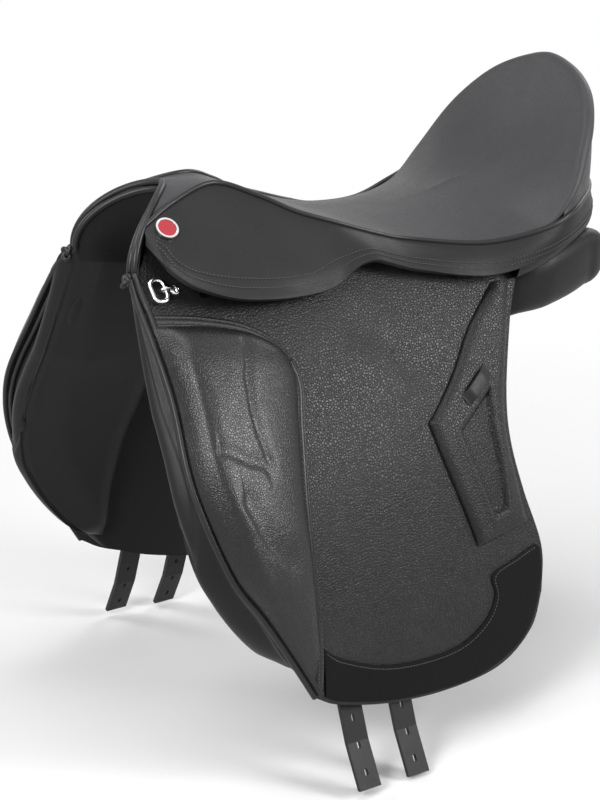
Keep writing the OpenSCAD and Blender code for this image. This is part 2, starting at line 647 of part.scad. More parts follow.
// Leather over the back of the cantle
function back_pt(s, v) =
    let (a = curve(edge, s), b = curve(top_loop, s), h = norm(b - a))
    mix(a, b, v) + [-h * 0.12 * v * (1 - v), 0, 0];
function back_n(s, v) =
    let (n = cross(back_pt(s - 0.05, v) - back_pt(s + 0.05, v), back_pt(s, v + 0.02) - back_pt(s, v - 0.02)))
    unit(s > middle - 0.01 ? [n[0], 0, n[2]] : n);
function back_at(s, v, n) = back_pt(s, v) + n * back_n(s, v);
back_ss = [10, 10.5, 11, 11.5, 12, 12.5, 13, 13.5, 14, 14.5, 15];
function back_to(s, e) = 1 - e / norm(curve(edge, s) - curve(top_loop, s));
module cantle_back() {
    vs = steps(5);
    color(leather)
        both()
            slab(
                [for (s = back_ss) [for (v = vs) back_at(s, mix(0.03, back_to(s, welt_r + 0.3), v), 0)]],
                [for (s = back_ss) [for (v = vs) back_at(s, mix(0.08, back_to(s, welt_r + 0.3), v), -cover_t)]]
            );
}

// Leather facing between the arch and the front edges of skirt and flap
facing_out = [[208, 46, 134], [211.5, 50, 127], [214, 53, 120], [216.5, 55, 112]];
// Strip below it, between the front end of the panel and the flap
strip_in = [[224.3, 43, 95], [224.3, 55, 86.5], [224.3, 66, 77.5]];
strip_out = [[223.4, 49, 103.4], [227, 60.6, 91], [230, 72.2, 78.5]];
module pommel_facing() {
    g = [for (v = steps(1)) [for (s = [0:0.5:3])
        let (o = curve(facing_out, s), i = vault(0, 57 + 8.4 * s)) mix(i + 3 * unit(o - i), o, v)]];
    strip = [for (v = steps(1)) [for (s = [0:0.5:2]) mix(curve(strip_in, s), curve(strip_out, s), v)]];
    color(leather)
        both()
            for (h = [g, strip])
                slab(h, [for (row = h) [for (p = row) p - [2, 0, 0]]]);
}

// Wooden tree: side bars, rear deck, cantle and head
function bar_line(x, f) = mix(corner_a(x), corner_d(x), f);
function bar_up(x) = let (d = unit(corner_d(x) - corner_a(x))) [-d[1], d[0]];
function bar_pt(x, f, n) = let (p = bar_line(x, f) + n * bar_up(x)) [lx(x), p[0], p[1]];
bar_xs = [for (x = panel_xs) if (x > -215 && x < 205) x];
function bar_fs(x) = [for (t = steps(3)) mix(mix(0.36, 0.06, ease((x - 120) / 50)), 0.94, t)];
function cantle_wood(s, v, n) = back_at(s, v, -cover_t - fit - n - 3 * ease((v - 0.7) / 0.25) - 6 * max(v - 1, 0));
module tree() {
    ss = [for (s = back_ss) if (s >= 11) s];
    as = concat([-96], vault_as, [96]);
    color(wood)
        difference() {
            union() {
                both() {
                    slab(
                        [for (x = bar_xs) [for (f = bar_fs(x)) bar_pt(x, f, 0.4 + bar_t)]],
                        [for (x = bar_xs) [for (f = bar_fs(x)) bar_pt(x, f, 0.4)]]
                    );
                    slab(
                        [for (s = ss) [for (v = [0.3, 0.55, 0.8, 1, 1.36]) cantle_wood(s, v, 0)]],
                        [for (s = ss) [for (v = [0.3, 0.55, 0.8, 1, 1.36]) cantle_wood(s, v, 7)]]
                    );
                }
                translate([0, 0, 84])
                    linear_extrude(8)
                        polygon([for (p = [[-150, 50], [-190, 96], [-215, 92], [-243, 74], [-260, 50], [-271, 20],
                            [-271, -20], [-260, -50], [-243, -74], [-215, -92], [-190, -96], [-150, -50]])
                            [lx(p[0]), p[1]]]);
                slab(
                    [for (k = head_ks) [for (a = as) vault_at(k, a, lining_t + 0.5 + head_t)]],
                    [for (k = head_ks) [for (a = as) vault_at(k, a, lining_t + 0.5)]]
                );
            }
            both() {
                nail_holes(1.75, -flap_t - 5.3);
                iron_frame() iron_rivet_holes(iron_rivet_r + 0.15, 8.3);
            }
            plate_holes(1.75, -6.4, 10);
        }
}

// Stirrup bar, in a frame on the upper face of the side bar
iron_x = 106;
iron_f = 0.76;
module iron_frame() {
    o = bar_pt(iron_x, iron_f, bar_t + 0.4);
    ex = bar_pt(iron_x + 40, iron_f, bar_t) - bar_pt(iron_x - 40, iron_f, bar_t);
    ez = cross(ex, bar_pt(iron_x, 0.9, bar_t) - bar_pt(iron_x, 0.5, bar_t));
    place(o, ex, ez) children();
}

module iron_rivet_holes(r, depth) {
    for (x = [-30, 30])
        translate([x, 0, -depth])
            cylinder(r = r, h = depth + iron_t + 2, $fn = 20);
}

iron_rest = 0.95;
iron_z = iron_rest + iron_t + iron_gap + iron_h / 2;
catch_x = -iron_len / 2 + 8;
module bar_section(w) {
    square([w - iron_h, iron_h], center = true);
    translate([iron_h / 2 - w / 2, 0])
        circle(d = iron_h, $fn = 24);
    translate([w / 2 - iron_h / 2, 0])
        circle(d = iron_h, $fn = 24);
}

module near_stirrup_bar() {
    color(steel)
        iron_frame() {
            difference() {
                translate([-iron_len / 2, -8, iron_rest])
                    cube([iron_len, 16, iron_t]);
                iron_rivet_holes(iron_rivet_r + 0.15, 2);
            }
            translate([iron_len / 2 - 8, -5.5, iron_rest + iron_t - 0.01])
                cube([8, 11, iron_gap + iron_h]);
            translate([catch_x + 4, 0, iron_z])
                rotate([90, 0, 90])
                    linear_extrude(iron_len - 18)
                        bar_section(11);
            translate([catch_x, -1.9, iron_z - iron_h / 2])
                cube([6, 3.8, iron_h]);
            translate([catch_x, 0, iron_z])
                rotate([90, 0, 0]) {
                    cylinder(d = iron_h, h = 3.8, center = true, $fn = 24);
                    cylinder(r = 1.5, h = 11, center = true, $fn = 20);
                }
        }
}

module near_bar_catch() {
    color(steel)
        iron_frame()
            translate([catch_x, 0, iron_z])
                rotate([90, 0, 0])
                    difference() {
                        linear_extrude(9.6, center = true) {
                            circle(r = 3.1, $fn = 24);
                            translate([-catch_len, -2.6])
                                square([catch_len, 5.2]);
                            translate([-catch_len, 0])
                                circle(r = 2.6, $fn = 24);
                        }
                        linear_extrude(4.4, center = true)
                            translate([-4.6, -4])
                                square([9, 8]);
                        cylinder(r = 1.8, h = 20, center = true, $fn = 20);
                    }
}

module bar_rivets() {
    color(steel)
        both()
            iron_frame()
                for (x = [-30, 30]) {
                    translate([x, 0, iron_rest + iron_t + fit])
                        cylinder(r = iron_rivet_r + 2, h = 1.2, $fn = 20);
                    translate([x, 0, -8])
                        cylinder(r = iron_rivet_r, h = 8 + iron_rest + iron_t + fit, $fn = 20);
                }
}

// Girth web and straps: the straps hang between flap and sweat flap
strap_front_x = 97;
strap_rear_x = strap_front_x - strap_gap;
pivot_d = 24;
// Upper edge of the web, tacked to the edge of the side bar
function web_top(xs, n) =
    [for (x = xs) bar_pt(x, 0.94 + 0.25 / norm(corner_d(x) - corner_a(x)), n)];
module near_girth_web() {
    xs = [for (i = [0:6]) mix(strap_rear_x - 16, strap_front_x + 16, i / 6)];
    g = [for (d = [1, 12, 24, 36]) [for (x = xs) [x, d]]];
    color(wood)
        difference() {
            slab(concat([web_top(xs, 8.6)], raise(g, web_n)), concat([web_top(xs, 8.6 - girth_web_t)],
                raise(g, web_n - girth_web_t)));
            for (x = [strap_front_x, strap_rear_x])
                strap_pin(x, strap_rivet_r + 0.15, -20, 30);
        }
}

module strap_pin(x, r, n, h) {
    place(lay(x, pivot_d, strap_n), [1, 0, 0], flap_n_flat(x, pivot_d))
        translate([0, 0, n])
            cylinder(r = r, h = h, $fn = 24);
}

// Direction square to the strap, which is flat across its width
function flap_n_flat(x, d) = unit([0, flap_n(x, d)[1], flap_n(x, d)[2]]);
function strap_side(x, d, n) = let (p = flap_pt(x, d) + (n + hang(d)) * flap_n_flat(x, d)) [p[1], p[2]];
strap_ds = [8, 24, 40, 70, 105, 145, 190, 235, 280];
strap_lean = 0.36;
function strap_tail(x, n) =
    let (p = strap_side(x, 280, strap_n - strap_t / 2), foot = fold_at(x)[2] - flap_drop + 8 - strap_show - p[1])
    [
        for (t = [0.35, 0.7, 1])
            p + [foot * -strap_lean * (0.25 + 0.75 * t) * t, foot * t] + n * unit([1, strap_lean * 0.9])
    ];
module strap(x) {
    outer = concat([for (d = strap_ds) strap_side(x, d, strap_n)], strap_tail(x, strap_t / 2));
    inner = concat([for (d = strap_ds) strap_side(x, d, strap_n - strap_t)], strap_tail(x, -strap_t / 2));
    mids = strap_tail(x, 0);
    run = unit(mids[2] - mids[1]);
    color(leather)
        difference() {
            translate([x - strap_w / 2, 0, 0])
                rotate([90, 0, 90])
                    linear_extrude(strap_w)
                        polygon(concat(outer, [for (i = [len(inner) - 1:-1:0]) inner[i]]));
            strap_pin(x, strap_rivet_r + 0.3, -20, 40);
            for (i = [0:hole_count - 1])
                let (p = mids[2] - run * (14 + i * hole_pitch))
                    place([x, p[0], p[1]], [1, 0, 0], [0, -run[1], run[0]])
                        linear_extrude(30, center = true) {
                            square([hole_w, hole_len - hole_w], center = true);
                            for (k = [-1, 1])
                                translate([0, k * (hole_len - hole_w) / 2])
                                    circle(d = hole_w, $fn = 16);
                        }
        }
}

module near_front_strap() {
    strap(strap_front_x);
}

module near_rear_strap() {
    strap(strap_rear_x);
}

module strap_rivets() {
    color(steel)
        both()
            for (x = [strap_front_x, strap_rear_x]) {
                strap_pin(x, strap_rivet_r, -strap_t - 1.3, strap_t + girth_web_t + 2.4);
                strap_pin(x, strap_rivet_r + 2.4, -strap_t - 1.5, 1.2);
                strap_pin(x, strap_rivet_r + 2.4, girth_web_t + 0.6, 1.2);
            }
}

// Staple and dee ring on the front corner of the flap
dee_x = 194;
dee_d = -12;
dee_h = 4.6;
module dee_frame() {
    place(lay(dee_x, dee_d, fit), [1, 0, 0], flap_n(dee_x, dee_d)) children();
}

module near_dee_staple() {
    color(steel)
        dee_frame() {
            translate([-14, -6, 0.1])
                cube([16, 12, 1.6]);
            difference() {
                union() {
                    translate([8, 0, dee_h])
                        rotate([90, 0, 0])
                            cylinder(r = dee_wire + 1.9, h = 8, center = true, $fn = 28);
                    translate([-6, -4, 1.5])
                        cube([14, 8, dee_h - 0.4]);
                }
                translate([8, 0, dee_h])
                    rotate([90, 0, 0])
                        cylinder(r = dee_wire + 0.35, h = 20, center = true, $fn = 28);
            }
            translate([-10, 0, 1.6])
                cylinder(r = 2.6, h = 1.2, $fn = 24);
        }
}

module near_dee_ring() {
    color(steel)
        dee_frame()
            translate([8, 0, dee_h]) {
                rotate([90, 0, 0])
                    cylinder(r = dee_wire, h = 2 * dee_bow, center = true, $fn = 24);
                for (k = [-1, 1])
                    translate([0, k * dee_bow, 0]) {
                        sphere(r = dee_wire, $fn = 24);
                        rotate([0, 90, 0])
                            cylinder(r = dee_wire, h = dee_leg, $fn = 24);
                    }
                translate([dee_leg, 0, 0])
                    rotate([0, 0, -90])
                        rotate_extrude(angle = 180, $fn = 48)
                            translate([dee_bow, 0])
                                circle(r = dee_wire, $fn = 24);
            }
}

// Button on the front tip of the skirt
button_s = 0.68;
button_v = 0.37;
module button_frame() {
    place(skirt_at(button_s, button_v, 0.5), [1, 0, 0], skirt_n(button_s, button_v)) children();
}

module near_button_rim() {
    color(steel)
        button_frame()
            difference() {
                cylinder(r = button_r, h = button_h, $fn = 48);
                translate([0, 0, 0.8])
                    cylinder(r = button_r - 1.8, h = button_h, $fn = 48);
            }
}

module near_button_enamel() {
    color(red)
        button_frame()
            translate([0, 0, 0.9])
                cylinder(r = button_r - 2, h = button_h - 1.3, $fn = 48);
}

module off_stirrup_bar() { mirror([0, 1, 0]) near_stirrup_bar(); }
module off_bar_catch() { mirror([0, 1, 0]) near_bar_catch(); }
module off_skirt() { mirror([0, 1, 0]) near_skirt(); }
module off_skirt_lobe() { mirror([0, 1, 0]) near_skirt_lobe(); }
module off_button_rim() { mirror([0, 1, 0]) near_button_rim(); }
module off_button_enamel() { mirror([0, 1, 0]) near_button_enamel(); }
module off_flap_head() { mirror([0, 1, 0]) near_flap_head(); }
module off_flap() { mirror([0, 1, 0]) near_flap(); }
module off_leg_block() { mirror([0, 1, 0]) near_leg_block(); }
module off_block_cover() { mirror([0, 1, 0]) near_block_cover(); }
module off_flap_hem() { mirror([0, 1, 0]) near_flap_hem(); }
module off_rear_pad() { mirror([0, 1, 0]) near_rear_pad(); }
module off_keeper() { mirror([0, 1, 0]) near_keeper(); }
module off_sweat_flap() { mirror([0, 1, 0]) near_sweat_flap(); }
module off_panel() { mirror([0, 1, 0]) near_panel(); }
module off_panel_roll() { mirror([0, 1, 0]) near_panel_roll(); }
module off_girth_web() { mirror([0, 1, 0]) near_girth_web(); }
module off_front_strap() { mirror([0, 1, 0]) near_front_strap(); }
module off_rear_strap() { mirror([0, 1, 0]) near_rear_strap(); }
module off_dee_staple() { mirror([0, 1, 0]) near_dee_staple(); }
module off_dee_ring() { mirror([0, 1, 0]) near_dee_ring(); }

tree();
gullet_plate();
plate_rivets();
gullet_lining();
pommel_facing();
pommel_welt();
seat_web();
seat_foam();
seat_cover();
cantle_back();
seat_welt();
bar_rivets();
flap_nails();
strap_rivets();
near_stirrup_bar();
off_stirrup_bar();
near_bar_catch();
off_bar_catch();
near_skirt();
off_skirt();
near_skirt_lobe();
off_skirt_lobe();
near_button_rim();
off_button_rim();
near_button_enamel();
off_button_enamel();
near_flap_head();
off_flap_head();
near_flap();
off_flap();
near_leg_block();
off_leg_block();
near_block_cover();
off_block_cover();
near_flap_hem();
off_flap_hem();
near_rear_pad();
off_rear_pad();
near_keeper();
off_keeper();
near_sweat_flap();
off_sweat_flap();
near_panel();
off_panel();
near_panel_roll();
off_panel_roll();
near_girth_web();
off_girth_web();
near_front_strap();
near_rear_strap();
off_front_strap();
off_rear_strap();
near_dee_staple();
off_dee_staple();
near_dee_ring();
off_dee_ring();
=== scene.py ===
"""Looks of a dressage saddle: leather, padding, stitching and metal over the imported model.

Shape code counts in millimetres and turns to metres where a mesh is made. X points forward,
Y to the near side and Z up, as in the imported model.
"""

import logging
import math
from collections.abc import Callable, Sequence
from dataclasses import dataclass
from enum import Enum
from functools import cached_property

import bpy
import numpy as np
from mathutils import Matrix, Vector


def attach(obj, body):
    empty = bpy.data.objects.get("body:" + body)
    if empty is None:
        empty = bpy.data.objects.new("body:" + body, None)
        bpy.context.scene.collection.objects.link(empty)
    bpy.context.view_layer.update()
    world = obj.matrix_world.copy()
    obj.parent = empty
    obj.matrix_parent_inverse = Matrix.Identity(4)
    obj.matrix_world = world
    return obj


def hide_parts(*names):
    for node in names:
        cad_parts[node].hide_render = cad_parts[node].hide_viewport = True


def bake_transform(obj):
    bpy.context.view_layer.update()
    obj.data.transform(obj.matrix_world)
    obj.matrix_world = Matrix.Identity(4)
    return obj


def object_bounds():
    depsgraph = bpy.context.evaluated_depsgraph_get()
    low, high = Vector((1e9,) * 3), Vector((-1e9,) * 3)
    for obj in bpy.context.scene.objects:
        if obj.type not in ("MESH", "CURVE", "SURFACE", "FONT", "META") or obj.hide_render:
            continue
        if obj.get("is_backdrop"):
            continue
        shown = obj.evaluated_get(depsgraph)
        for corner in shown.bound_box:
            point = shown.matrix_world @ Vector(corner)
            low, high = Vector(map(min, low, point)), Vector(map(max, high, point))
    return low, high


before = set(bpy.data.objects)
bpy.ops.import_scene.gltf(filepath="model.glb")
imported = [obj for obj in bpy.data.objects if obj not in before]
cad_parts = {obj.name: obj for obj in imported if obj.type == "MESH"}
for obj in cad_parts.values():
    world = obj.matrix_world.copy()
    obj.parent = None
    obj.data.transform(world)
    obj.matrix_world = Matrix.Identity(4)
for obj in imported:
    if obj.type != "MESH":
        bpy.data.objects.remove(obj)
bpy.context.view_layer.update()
log = logging.getLogger("saddle")

MM = 0.001
TINY = 1e-6
Point = np.ndarray
Pairs = Sequence[Sequence[float]]
Piece = bpy.types.Object
Couple = tuple[float, float]
Triple = tuple[float, float, float]
Place = Callable[[float, float], Point]


def vec(*values: float) -> Point:
    """Returns an array of numbers."""
    return np.array(values, float)


OUTWARD = vec(0, 1, 0)


def centred(p: Point, middle: bool) -> Point:
    """Returns p, moved to the middle of the saddle if it belongs there."""
    return p * vec(1, 0, 1) if middle else p


def mix(a: Point | float, b: Point | float, t: float) -> Point | float:
    """Returns the value a share t of the way from a to b."""
    return a + (b - a) * t


def clamp(t: float, low: float = 0.0, high: float = 1.0) -> float:
    """Returns t, held between low and high."""
    return min(max(t, low), high)


def ease(t: float) -> float:
    """Returns a smooth step from 0 to 1 for t between 0 and 1."""
    c = clamp(t)
    return c * c * (3 - 2 * c)


def unit(v: Point) -> Point:
    """Returns v at length 1."""
    return v / max(float(np.linalg.norm(v)), 1e-12)


def hump(distance: float, width: float) -> float:
    """Returns 1 at distance 0 and falls off smoothly over width."""
    return math.exp(-((distance / width) ** 2))


def dome(t: float) -> float:
    """Returns the height of a quarter round, 0 at t 0 and 1 from t 1 on."""
    return math.sqrt(1 - (1 - clamp(t)) ** 2)


def spline(points: Pairs, s: float) -> Point:
    """Smooth curve through a list of points.

    Args:
        points: The points, all of one length.
        s: Place on the curve, counted in points from 0.

    Returns:
        The point there.
    """
    n = len(points) - 1
    c = clamp(s, 0.0, float(n))
    i = min(int(c), n - 1)
    f = c - i
    b, d = np.asarray(points[i], float), np.asarray(points[i + 1], float)
    a = np.asarray(points[i - 1], float) if i > 0 else 2 * b - d
    e = np.asarray(points[i + 2], float) if i + 2 <= n else 2 * d - b
    cubic = (3 * b - a - 3 * d + e) * f**3
    return 0.5 * (2 * b + (d - a) * f + (2 * a - 5 * b + 4 * d - e) * f * f + cubic)


def on_line(points: Pairs, t: float) -> Point:
    """Returns the point at a share t of the smooth curve through a list of points."""
    return spline(points, t * (len(points) - 1))


def lengths(line: np.ndarray) -> np.ndarray:
    """Returns the distance along a line at each of its points."""
    return np.concatenate([[0], np.cumsum(np.linalg.norm(np.diff(line, axis=0), axis=1))])


def read_off(steps: np.ndarray, values: np.ndarray, at: float) -> Point:
    """Returns values given at steps along a line, read off at a distance along it."""
    return np.array([np.interp(at, steps, column) for column in values.T])


def table(pairs: Pairs, x: float) -> float:
    """Smooth value from pairs of place and value with rising places.

    Args:
        pairs: The pairs.
        x: Place, held inside the table.

    Returns:
        The value there.
    """
    n = len(pairs) - 1
    c = clamp(x, pairs[0][0], pairs[n][0])
    i = max(k for k in range(n) if pairs[k][0] <= c)
    h = pairs[i + 1][0] - pairs[i][0]
    f = (c - pairs[i][0]) / h
    a, b, d, e = pairs[max(i - 1, 0)], pairs[i], pairs[i + 1], pairs[min(i + 2, n)]
    before = (d[1] - a[1]) / (d[0] - a[0])
    after = (e[1] - b[1]) / (e[0] - b[0])
    start = (2 * f**3 - 3 * f * f + 1) * b[1] + (f**3 - 2 * f * f + f) * h * before
    return start + (3 * f * f - 2 * f**3) * d[1] + (f**3 - f * f) * h * after


@dataclass(frozen=True)
class Patch:
    """Area of a leather between four edges, each a list of places (x, drop) on the flap."""

    top: Pairs
    foot: Pairs
    rear: Pairs
    front: Pairs

    def at(self, u: float, v: float) -> Point:
        """Returns the place at u from rear to front and v from top to foot."""
        t, b = np.asarray(self.top, float), np.asarray(self.foot, float)
        edges = (1 - v) * on_line(t, u) + v * on_line(b, u)
        edges = edges + (1 - u) * on_line(self.rear, v) + u * on_line(self.front, v)
        corners = (1 - u) * (1 - v) * t[0] + u * (1 - v) * t[-1]
        return edges - corners - (1 - u) * v * b[0] - u * v * b[-1]


def distance_to(line: Pairs, p: Point) -> float:
    """Returns the distance from p to a line through a list of places."""
    points = np.asarray(line, float)
    a, b = points[:-1], points[1:]
    along = b - a
    t = np.clip(((p - a) * along).sum(1) / np.maximum((along**2).sum(1), 1e-9), 0, 1)
    return float(np.sqrt(((a + along * t[:, None] - p) ** 2).sum(1)).min())


def inside(outline: np.ndarray, p: Point) -> bool:
    """Returns whether p lies inside a closed outline."""
    a, b = outline, np.roll(outline, -1, 0)
    cuts = (a[:, 1] > p[1]) != (b[:, 1] > p[1])
    rise = np.where(np.abs(b[:, 1] - a[:, 1]) < 1e-9, 1e-9, b[:, 1] - a[:, 1])
    at = a[:, 0] + (p[1] - a[:, 1]) * (b[:, 0] - a[:, 0]) / rise
    return bool((cuts & (at > p[0])).sum() % 2)


def depth_in(outline: np.ndarray, p: Point) -> float:
    """Returns how far p lies inside a closed outline, negative outside it."""
    closed = np.vstack([outline, outline[:1]])
    return distance_to(closed, p) * (1 if inside(outline, p) else -1)


class Side(Enum):
    """The two sides of the saddle, with the sign of Y."""

    NEAR = 1
    OFF = -1

    @property
    def word(self) -> str:
        """Returns the word that names begin with."""
        return self.name.lower()

    def of(self, p: Point) -> Point:
        """Returns a near-side point on this side."""
        return p * vec(1, self.value, 1)


@dataclass(frozen=True)
class FlapForm:
    """Curved face of a flap: x forward, d the drop below the fold, n the distance outward."""

    fold_front: Triple = (228, 76, 81)
    fold_back: Triple = (-144, 103, 53)
    width: float = 372
    drop: float = 342
    reach: float = 196
    flare: Pairs = ((-180, -18), (-112, -10), (0, 0), (100, 6), (149, 11), (230, 21))
    bow: float = 2.2
    hang_in: float = 14
    thick: float = 4.5

    def fold(self, x: float) -> Point:
        """Returns the point of the fold line at x."""
        front, back = vec(*self.fold_front), vec(*self.fold_back)
        return mix(front, back, (self.fold_front[0] - x) / self.width)

    def at(self, x: float, d: float) -> Point:
        """Returns the point of the face at a place."""
        f = self.fold(x)
        w = self.reach + table(self.flare, x) - f[1]
        t = d / self.drop
        out = self.bow * t if d < 0 else 1 - max(1 - t, 0.0) ** self.bow
        return vec(x, f[1] + w * out, f[2] - d)

    def out(self, x: float, d: float) -> Point:
        """Returns the outward direction at a place."""
        along = self.at(x + 1, d) - self.at(x - 1, d)
        return unit(np.cross(along, self.at(x, d + 1) - self.at(x, d - 1)))

    def lay(self, x: float, d: float, n: float) -> Point:
        """Returns the point at distance n outward of a place."""
        return self.at(x, d) + n * self.out(x, d)

    def hang(self, d: float) -> float:
        """Returns how far inside the flap the layers behind it hang at a drop."""
        return -self.hang_in * max((d - 40) / (self.drop - 40), 0.0) ** 2


@dataclass(frozen=True)
class SeatForm:
    """Seat surface: s runs back along the near edge, w from the edge in to the middle."""

    seam: Pairs = (
        (205, 42, 140), (170, 33, 155), (125, 23, 163), (89, 37, 150), (60, 51, 135), (30, 61, 124),
        (-12, 70, 109), (-45, 75, 100), (-110, 99, 92), (-165, 116, 100),
    )
    rim: Pairs = (
        (-195, 116, 127.9), (-217, 102, 164.7), (-234, 86, 190.1), (-248, 64, 210.4), (-257, 34, 224.4),
        (-258, 0, 232),
    )
    band: Pairs = (
        (-195, 116, 110), (-222, 101, 116), (-243, 84, 119), (-261, 62, 121), (-275, 34, 123), (-280, 0, 124),
    )
    spine_x: Sequence[float] = (
        157, 147, 125, 92, 64, 36, 0, -30, -80, -110, -120, -128, -134, -140, -146, -150,
    )
    crest: Pairs = (
        (-150, 12), (-110, 3.5), (-60, 0), (-12, 3), (20, 9), (62, 26), (97, 41), (123, 49.5), (143, 51),
        (157, 50),
    )
    low: float = 113
    last: float = 15

    def _loop(self, half: Pairs) -> np.ndarray:
        """Returns a near half line and its off half as one line."""
        near = np.array(half, float)
        return np.vstack([near, near[-2::-1] * vec(1, -1, 1)])

    def edge(self, s: float) -> Point:
        """Returns the edge of the seat leather."""
        return spline(self._loop(tuple(self.seam) + tuple(self.rim)), s)

    def top(self, s: float) -> Point:
        """Returns the seam on top of the skirts and the band."""
        return spline(self._loop(tuple(self.seam) + tuple(self.band)), s)

    def spine(self, s: float) -> Point:
        """Returns the middle of the seat that belongs to a place on the edge."""
        c = max(min(s, 2 * self.last - s), 0.0)
        i = min(int(c), int(self.last) - 1)
        x = mix(self.spine_x[i], self.spine_x[i + 1], c - i)
        return vec(x, 0, self.low + table(self.crest, x))

    def at(self, s: float, w: float) -> Point:
        """Returns a point of the seat surface."""
        b, m = self.edge(s), self.spine(s)
        rise = (b[2] - m[2]) * max(1 - w, 0.0) ** 2.2
        return vec(mix(b[0], m[0], w), b[1] * (1 - w), m[2] + rise)

    def out(self, s: float, w: float) -> Point:
        """Returns the upward direction of the seat surface."""
        c = clamp(w, 0.02, 0.97)
        along = self.at(s + 0.06, c) - self.at(s - 0.06, c)
        return unit(np.cross(along, self.at(s, c + 0.02) - self.at(s, c - 0.02)))


@dataclass(frozen=True)
class SkirtForm:
    """Near skirt with its lobe and the band behind it: s as on the seat, v from seam to foot."""

    seat: SeatForm
    bend_front: Triple = (206, 70, 119)
    bend_back: Triple = (32, 98, 88)
    thick: float = 4
    stations: Sequence[float] = (
        0, 0.4, 0.75, 1.2, 2, 2.9, 3.7, 4.25, 4.7, 5.1, 5.5, 6, 7, 8, 9, 10, 11, 12, 13, 14, 15,
    )
    foot_line: Pairs = (
        (209, 52, 128), (206, 70, 119), (198, 88, 108), (184, 97, 98), (150, 103, 85), (108, 104, 78),
        (72, 102, 76), (50, 100, 78), (36, 98, 85), (21, 98, 93), (6, 99, 94.5), (-10, 101, 89),
        (-37, 104, 80), (-102, 114, 66), (-152, 121, 72), (-190, 116, 80), (-224, 102, 87), (-248, 84, 92),
        (-267, 62, 94), (-281, 34, 95), (-285, 0, 95),
    )

    def foot(self, s: float) -> Point:
        """Returns the lower edge."""
        index = float(np.interp(s, self.stations, range(len(self.stations))))
        near = np.array(self.foot_line, float)
        return spline(np.vstack([near, near[-2:-1] * vec(1, -1, 1)]), index)

    def bend(self, s: float) -> Point:
        """Returns the middle of a row, which is the bend line in front of the notch."""
        front, back = vec(*self.bend_front), vec(*self.bend_back)
        line = mix(front, back, clamp((s - 0.4) / 4.6))
        half = mix(self.seat.top(s), self.foot(s), 0.5) + vec(-0.1, 1, 0.6) * 1.5
        share = ease((s - 3.9) / 1.4) if s > 1 else 1 - ease(s / 0.8)
        return mix(line, half, share)

    def at(self, s: float, v: float) -> Point:
        """Returns a point of the outer face."""
        row = [self.seat.top(s), self.bend(s), self.foot(s)]
        line = np.array([spline(row, t) for t in np.linspace(0, 2, 13)])
        steps = lengths(line)
        return read_off(steps, line, v * steps[-1])


@dataclass(frozen=True)
class VaultForm:
    """Arch and channel lining: k counts rows back from the pommel, a turns from the middle."""

    xc: Pairs = ((0, 163), (1, 150), (2, 110), (3, 60), (4, 0), (5, -130), (6, -258))
    zc: Pairs = ((0, 158), (1, 131), (2, 115), (3, 95), (4, 80), (5, 78.5), (6, 78.5))
    xe: Pairs = ((0, 221), (1, 196), (2, 138), (3, 68), (4, 0), (5, -130), (6, -258))
    ye: Pairs = ((0, 47), (1, 37.5), (2, 34), (3, 33.8), (4, 33.6), (5, 33.6), (6, 33.6))
    ze: Pairs = ((0, 104), (1, 97), (2, 87), (3, 78.5), (4, 76), (5, 76), (6, 75))

    def at(self, k: float, a: float) -> Point:
        """Returns a point of the vault, with a in degrees."""
        s, c = math.sin(math.radians(a)), math.cos(math.radians(a))
        x = mix(table(self.xc, k), table(self.xe, k), abs(s) ** 1.4)
        return vec(x, table(self.ye, k) * s, mix(table(self.ze, k), table(self.zc, k), c))


@dataclass(frozen=True)
class PanelForm:
    """Near stuffed panel: four corners of its section at each x."""

    flap: FlapForm
    half_channel: float = 36
    roll_n: float = -23.15
    roll_t: float = 26
    roll_d: float = 62
    roof_n: float = -15.4
    ay: Pairs = ((-272, 6), (-248, 2), (-190, 0), (0, 0), (130, 1), (180, 4), (222, 8))
    az: Pairs = ((-272, 78), (-252, 72), (-190, 77), (0, 77), (80, 77), (130, 82), (180, 87), (222, 95))
    by: Pairs = ((-272, 10), (-248, 5), (-190, 2), (60, 2))
    bz: Pairs = ((-272, 50), (-250, 34), (-190, 22), (-100, 17), (0, 16), (60, 18))
    cy: Pairs = ((-272, 72), (-252, 88), (-190, 102), (-150, 102))
    cz: Pairs = ((-272, 46), (-252, 27), (-190, 13), (-150, 12))
    dy: Pairs = ((-272, 74), (-252, 92), (-190, 108), (-160, 104))
    dz: Pairs = ((-272, 90), (-252, 87), (-190, 76), (-160, 68))

    def corners(self, x: float) -> tuple[Point, Point, Point, Point]:
        """Returns the corners (y, z) of the section: upper and lower inner, lower and upper outer."""
        lay, deep = self.flap.lay, self.roll_d - 1
        a = vec(self.half_channel + table(self.ay, x), table(self.az, x))
        b = vec(self.half_channel + table(self.by, x), table(self.bz, x))
        b = mix(b, lay(max(x, 100), deep, self.roll_n - self.roll_t + 2)[1:], ease((x - 50) / 80))
        drop = mix(38, deep, ease((x + 100) / 160))
        c = vec(table(self.cy, x), table(self.cz, x))
        c = mix(c, lay(max(x, -120), drop, self.roll_n - 8)[1:], ease((x + 160) / 50))
        d = vec(table(self.dy, x), table(self.dz, x))
        d = mix(d, lay(max(x, -130), -6, self.roof_n)[1:], ease((x + 168) / 38))
        return a, b, c, d

    def at(self, x: float, turn: float, share: float = 1.0) -> Point:
        """Returns a point of the section's outline.

        Args:
            x: Place along the panel.
            turn: Angle round the section, in radians.
            share: Distance from the middle of the section, 1 on its outline.

        Returns:
            The point.
        """
        a, b, c, d = self.corners(x)
        bulge = [math.copysign(abs(t) ** 0.62, t) for t in (math.cos(turn), math.sin(turn))]
        u, v = ((share * t + 1) / 2 for t in bulge)
        p = mix(mix(b, c, u), mix(a, d, u), v)
        return vec(x, p[0], p[1])


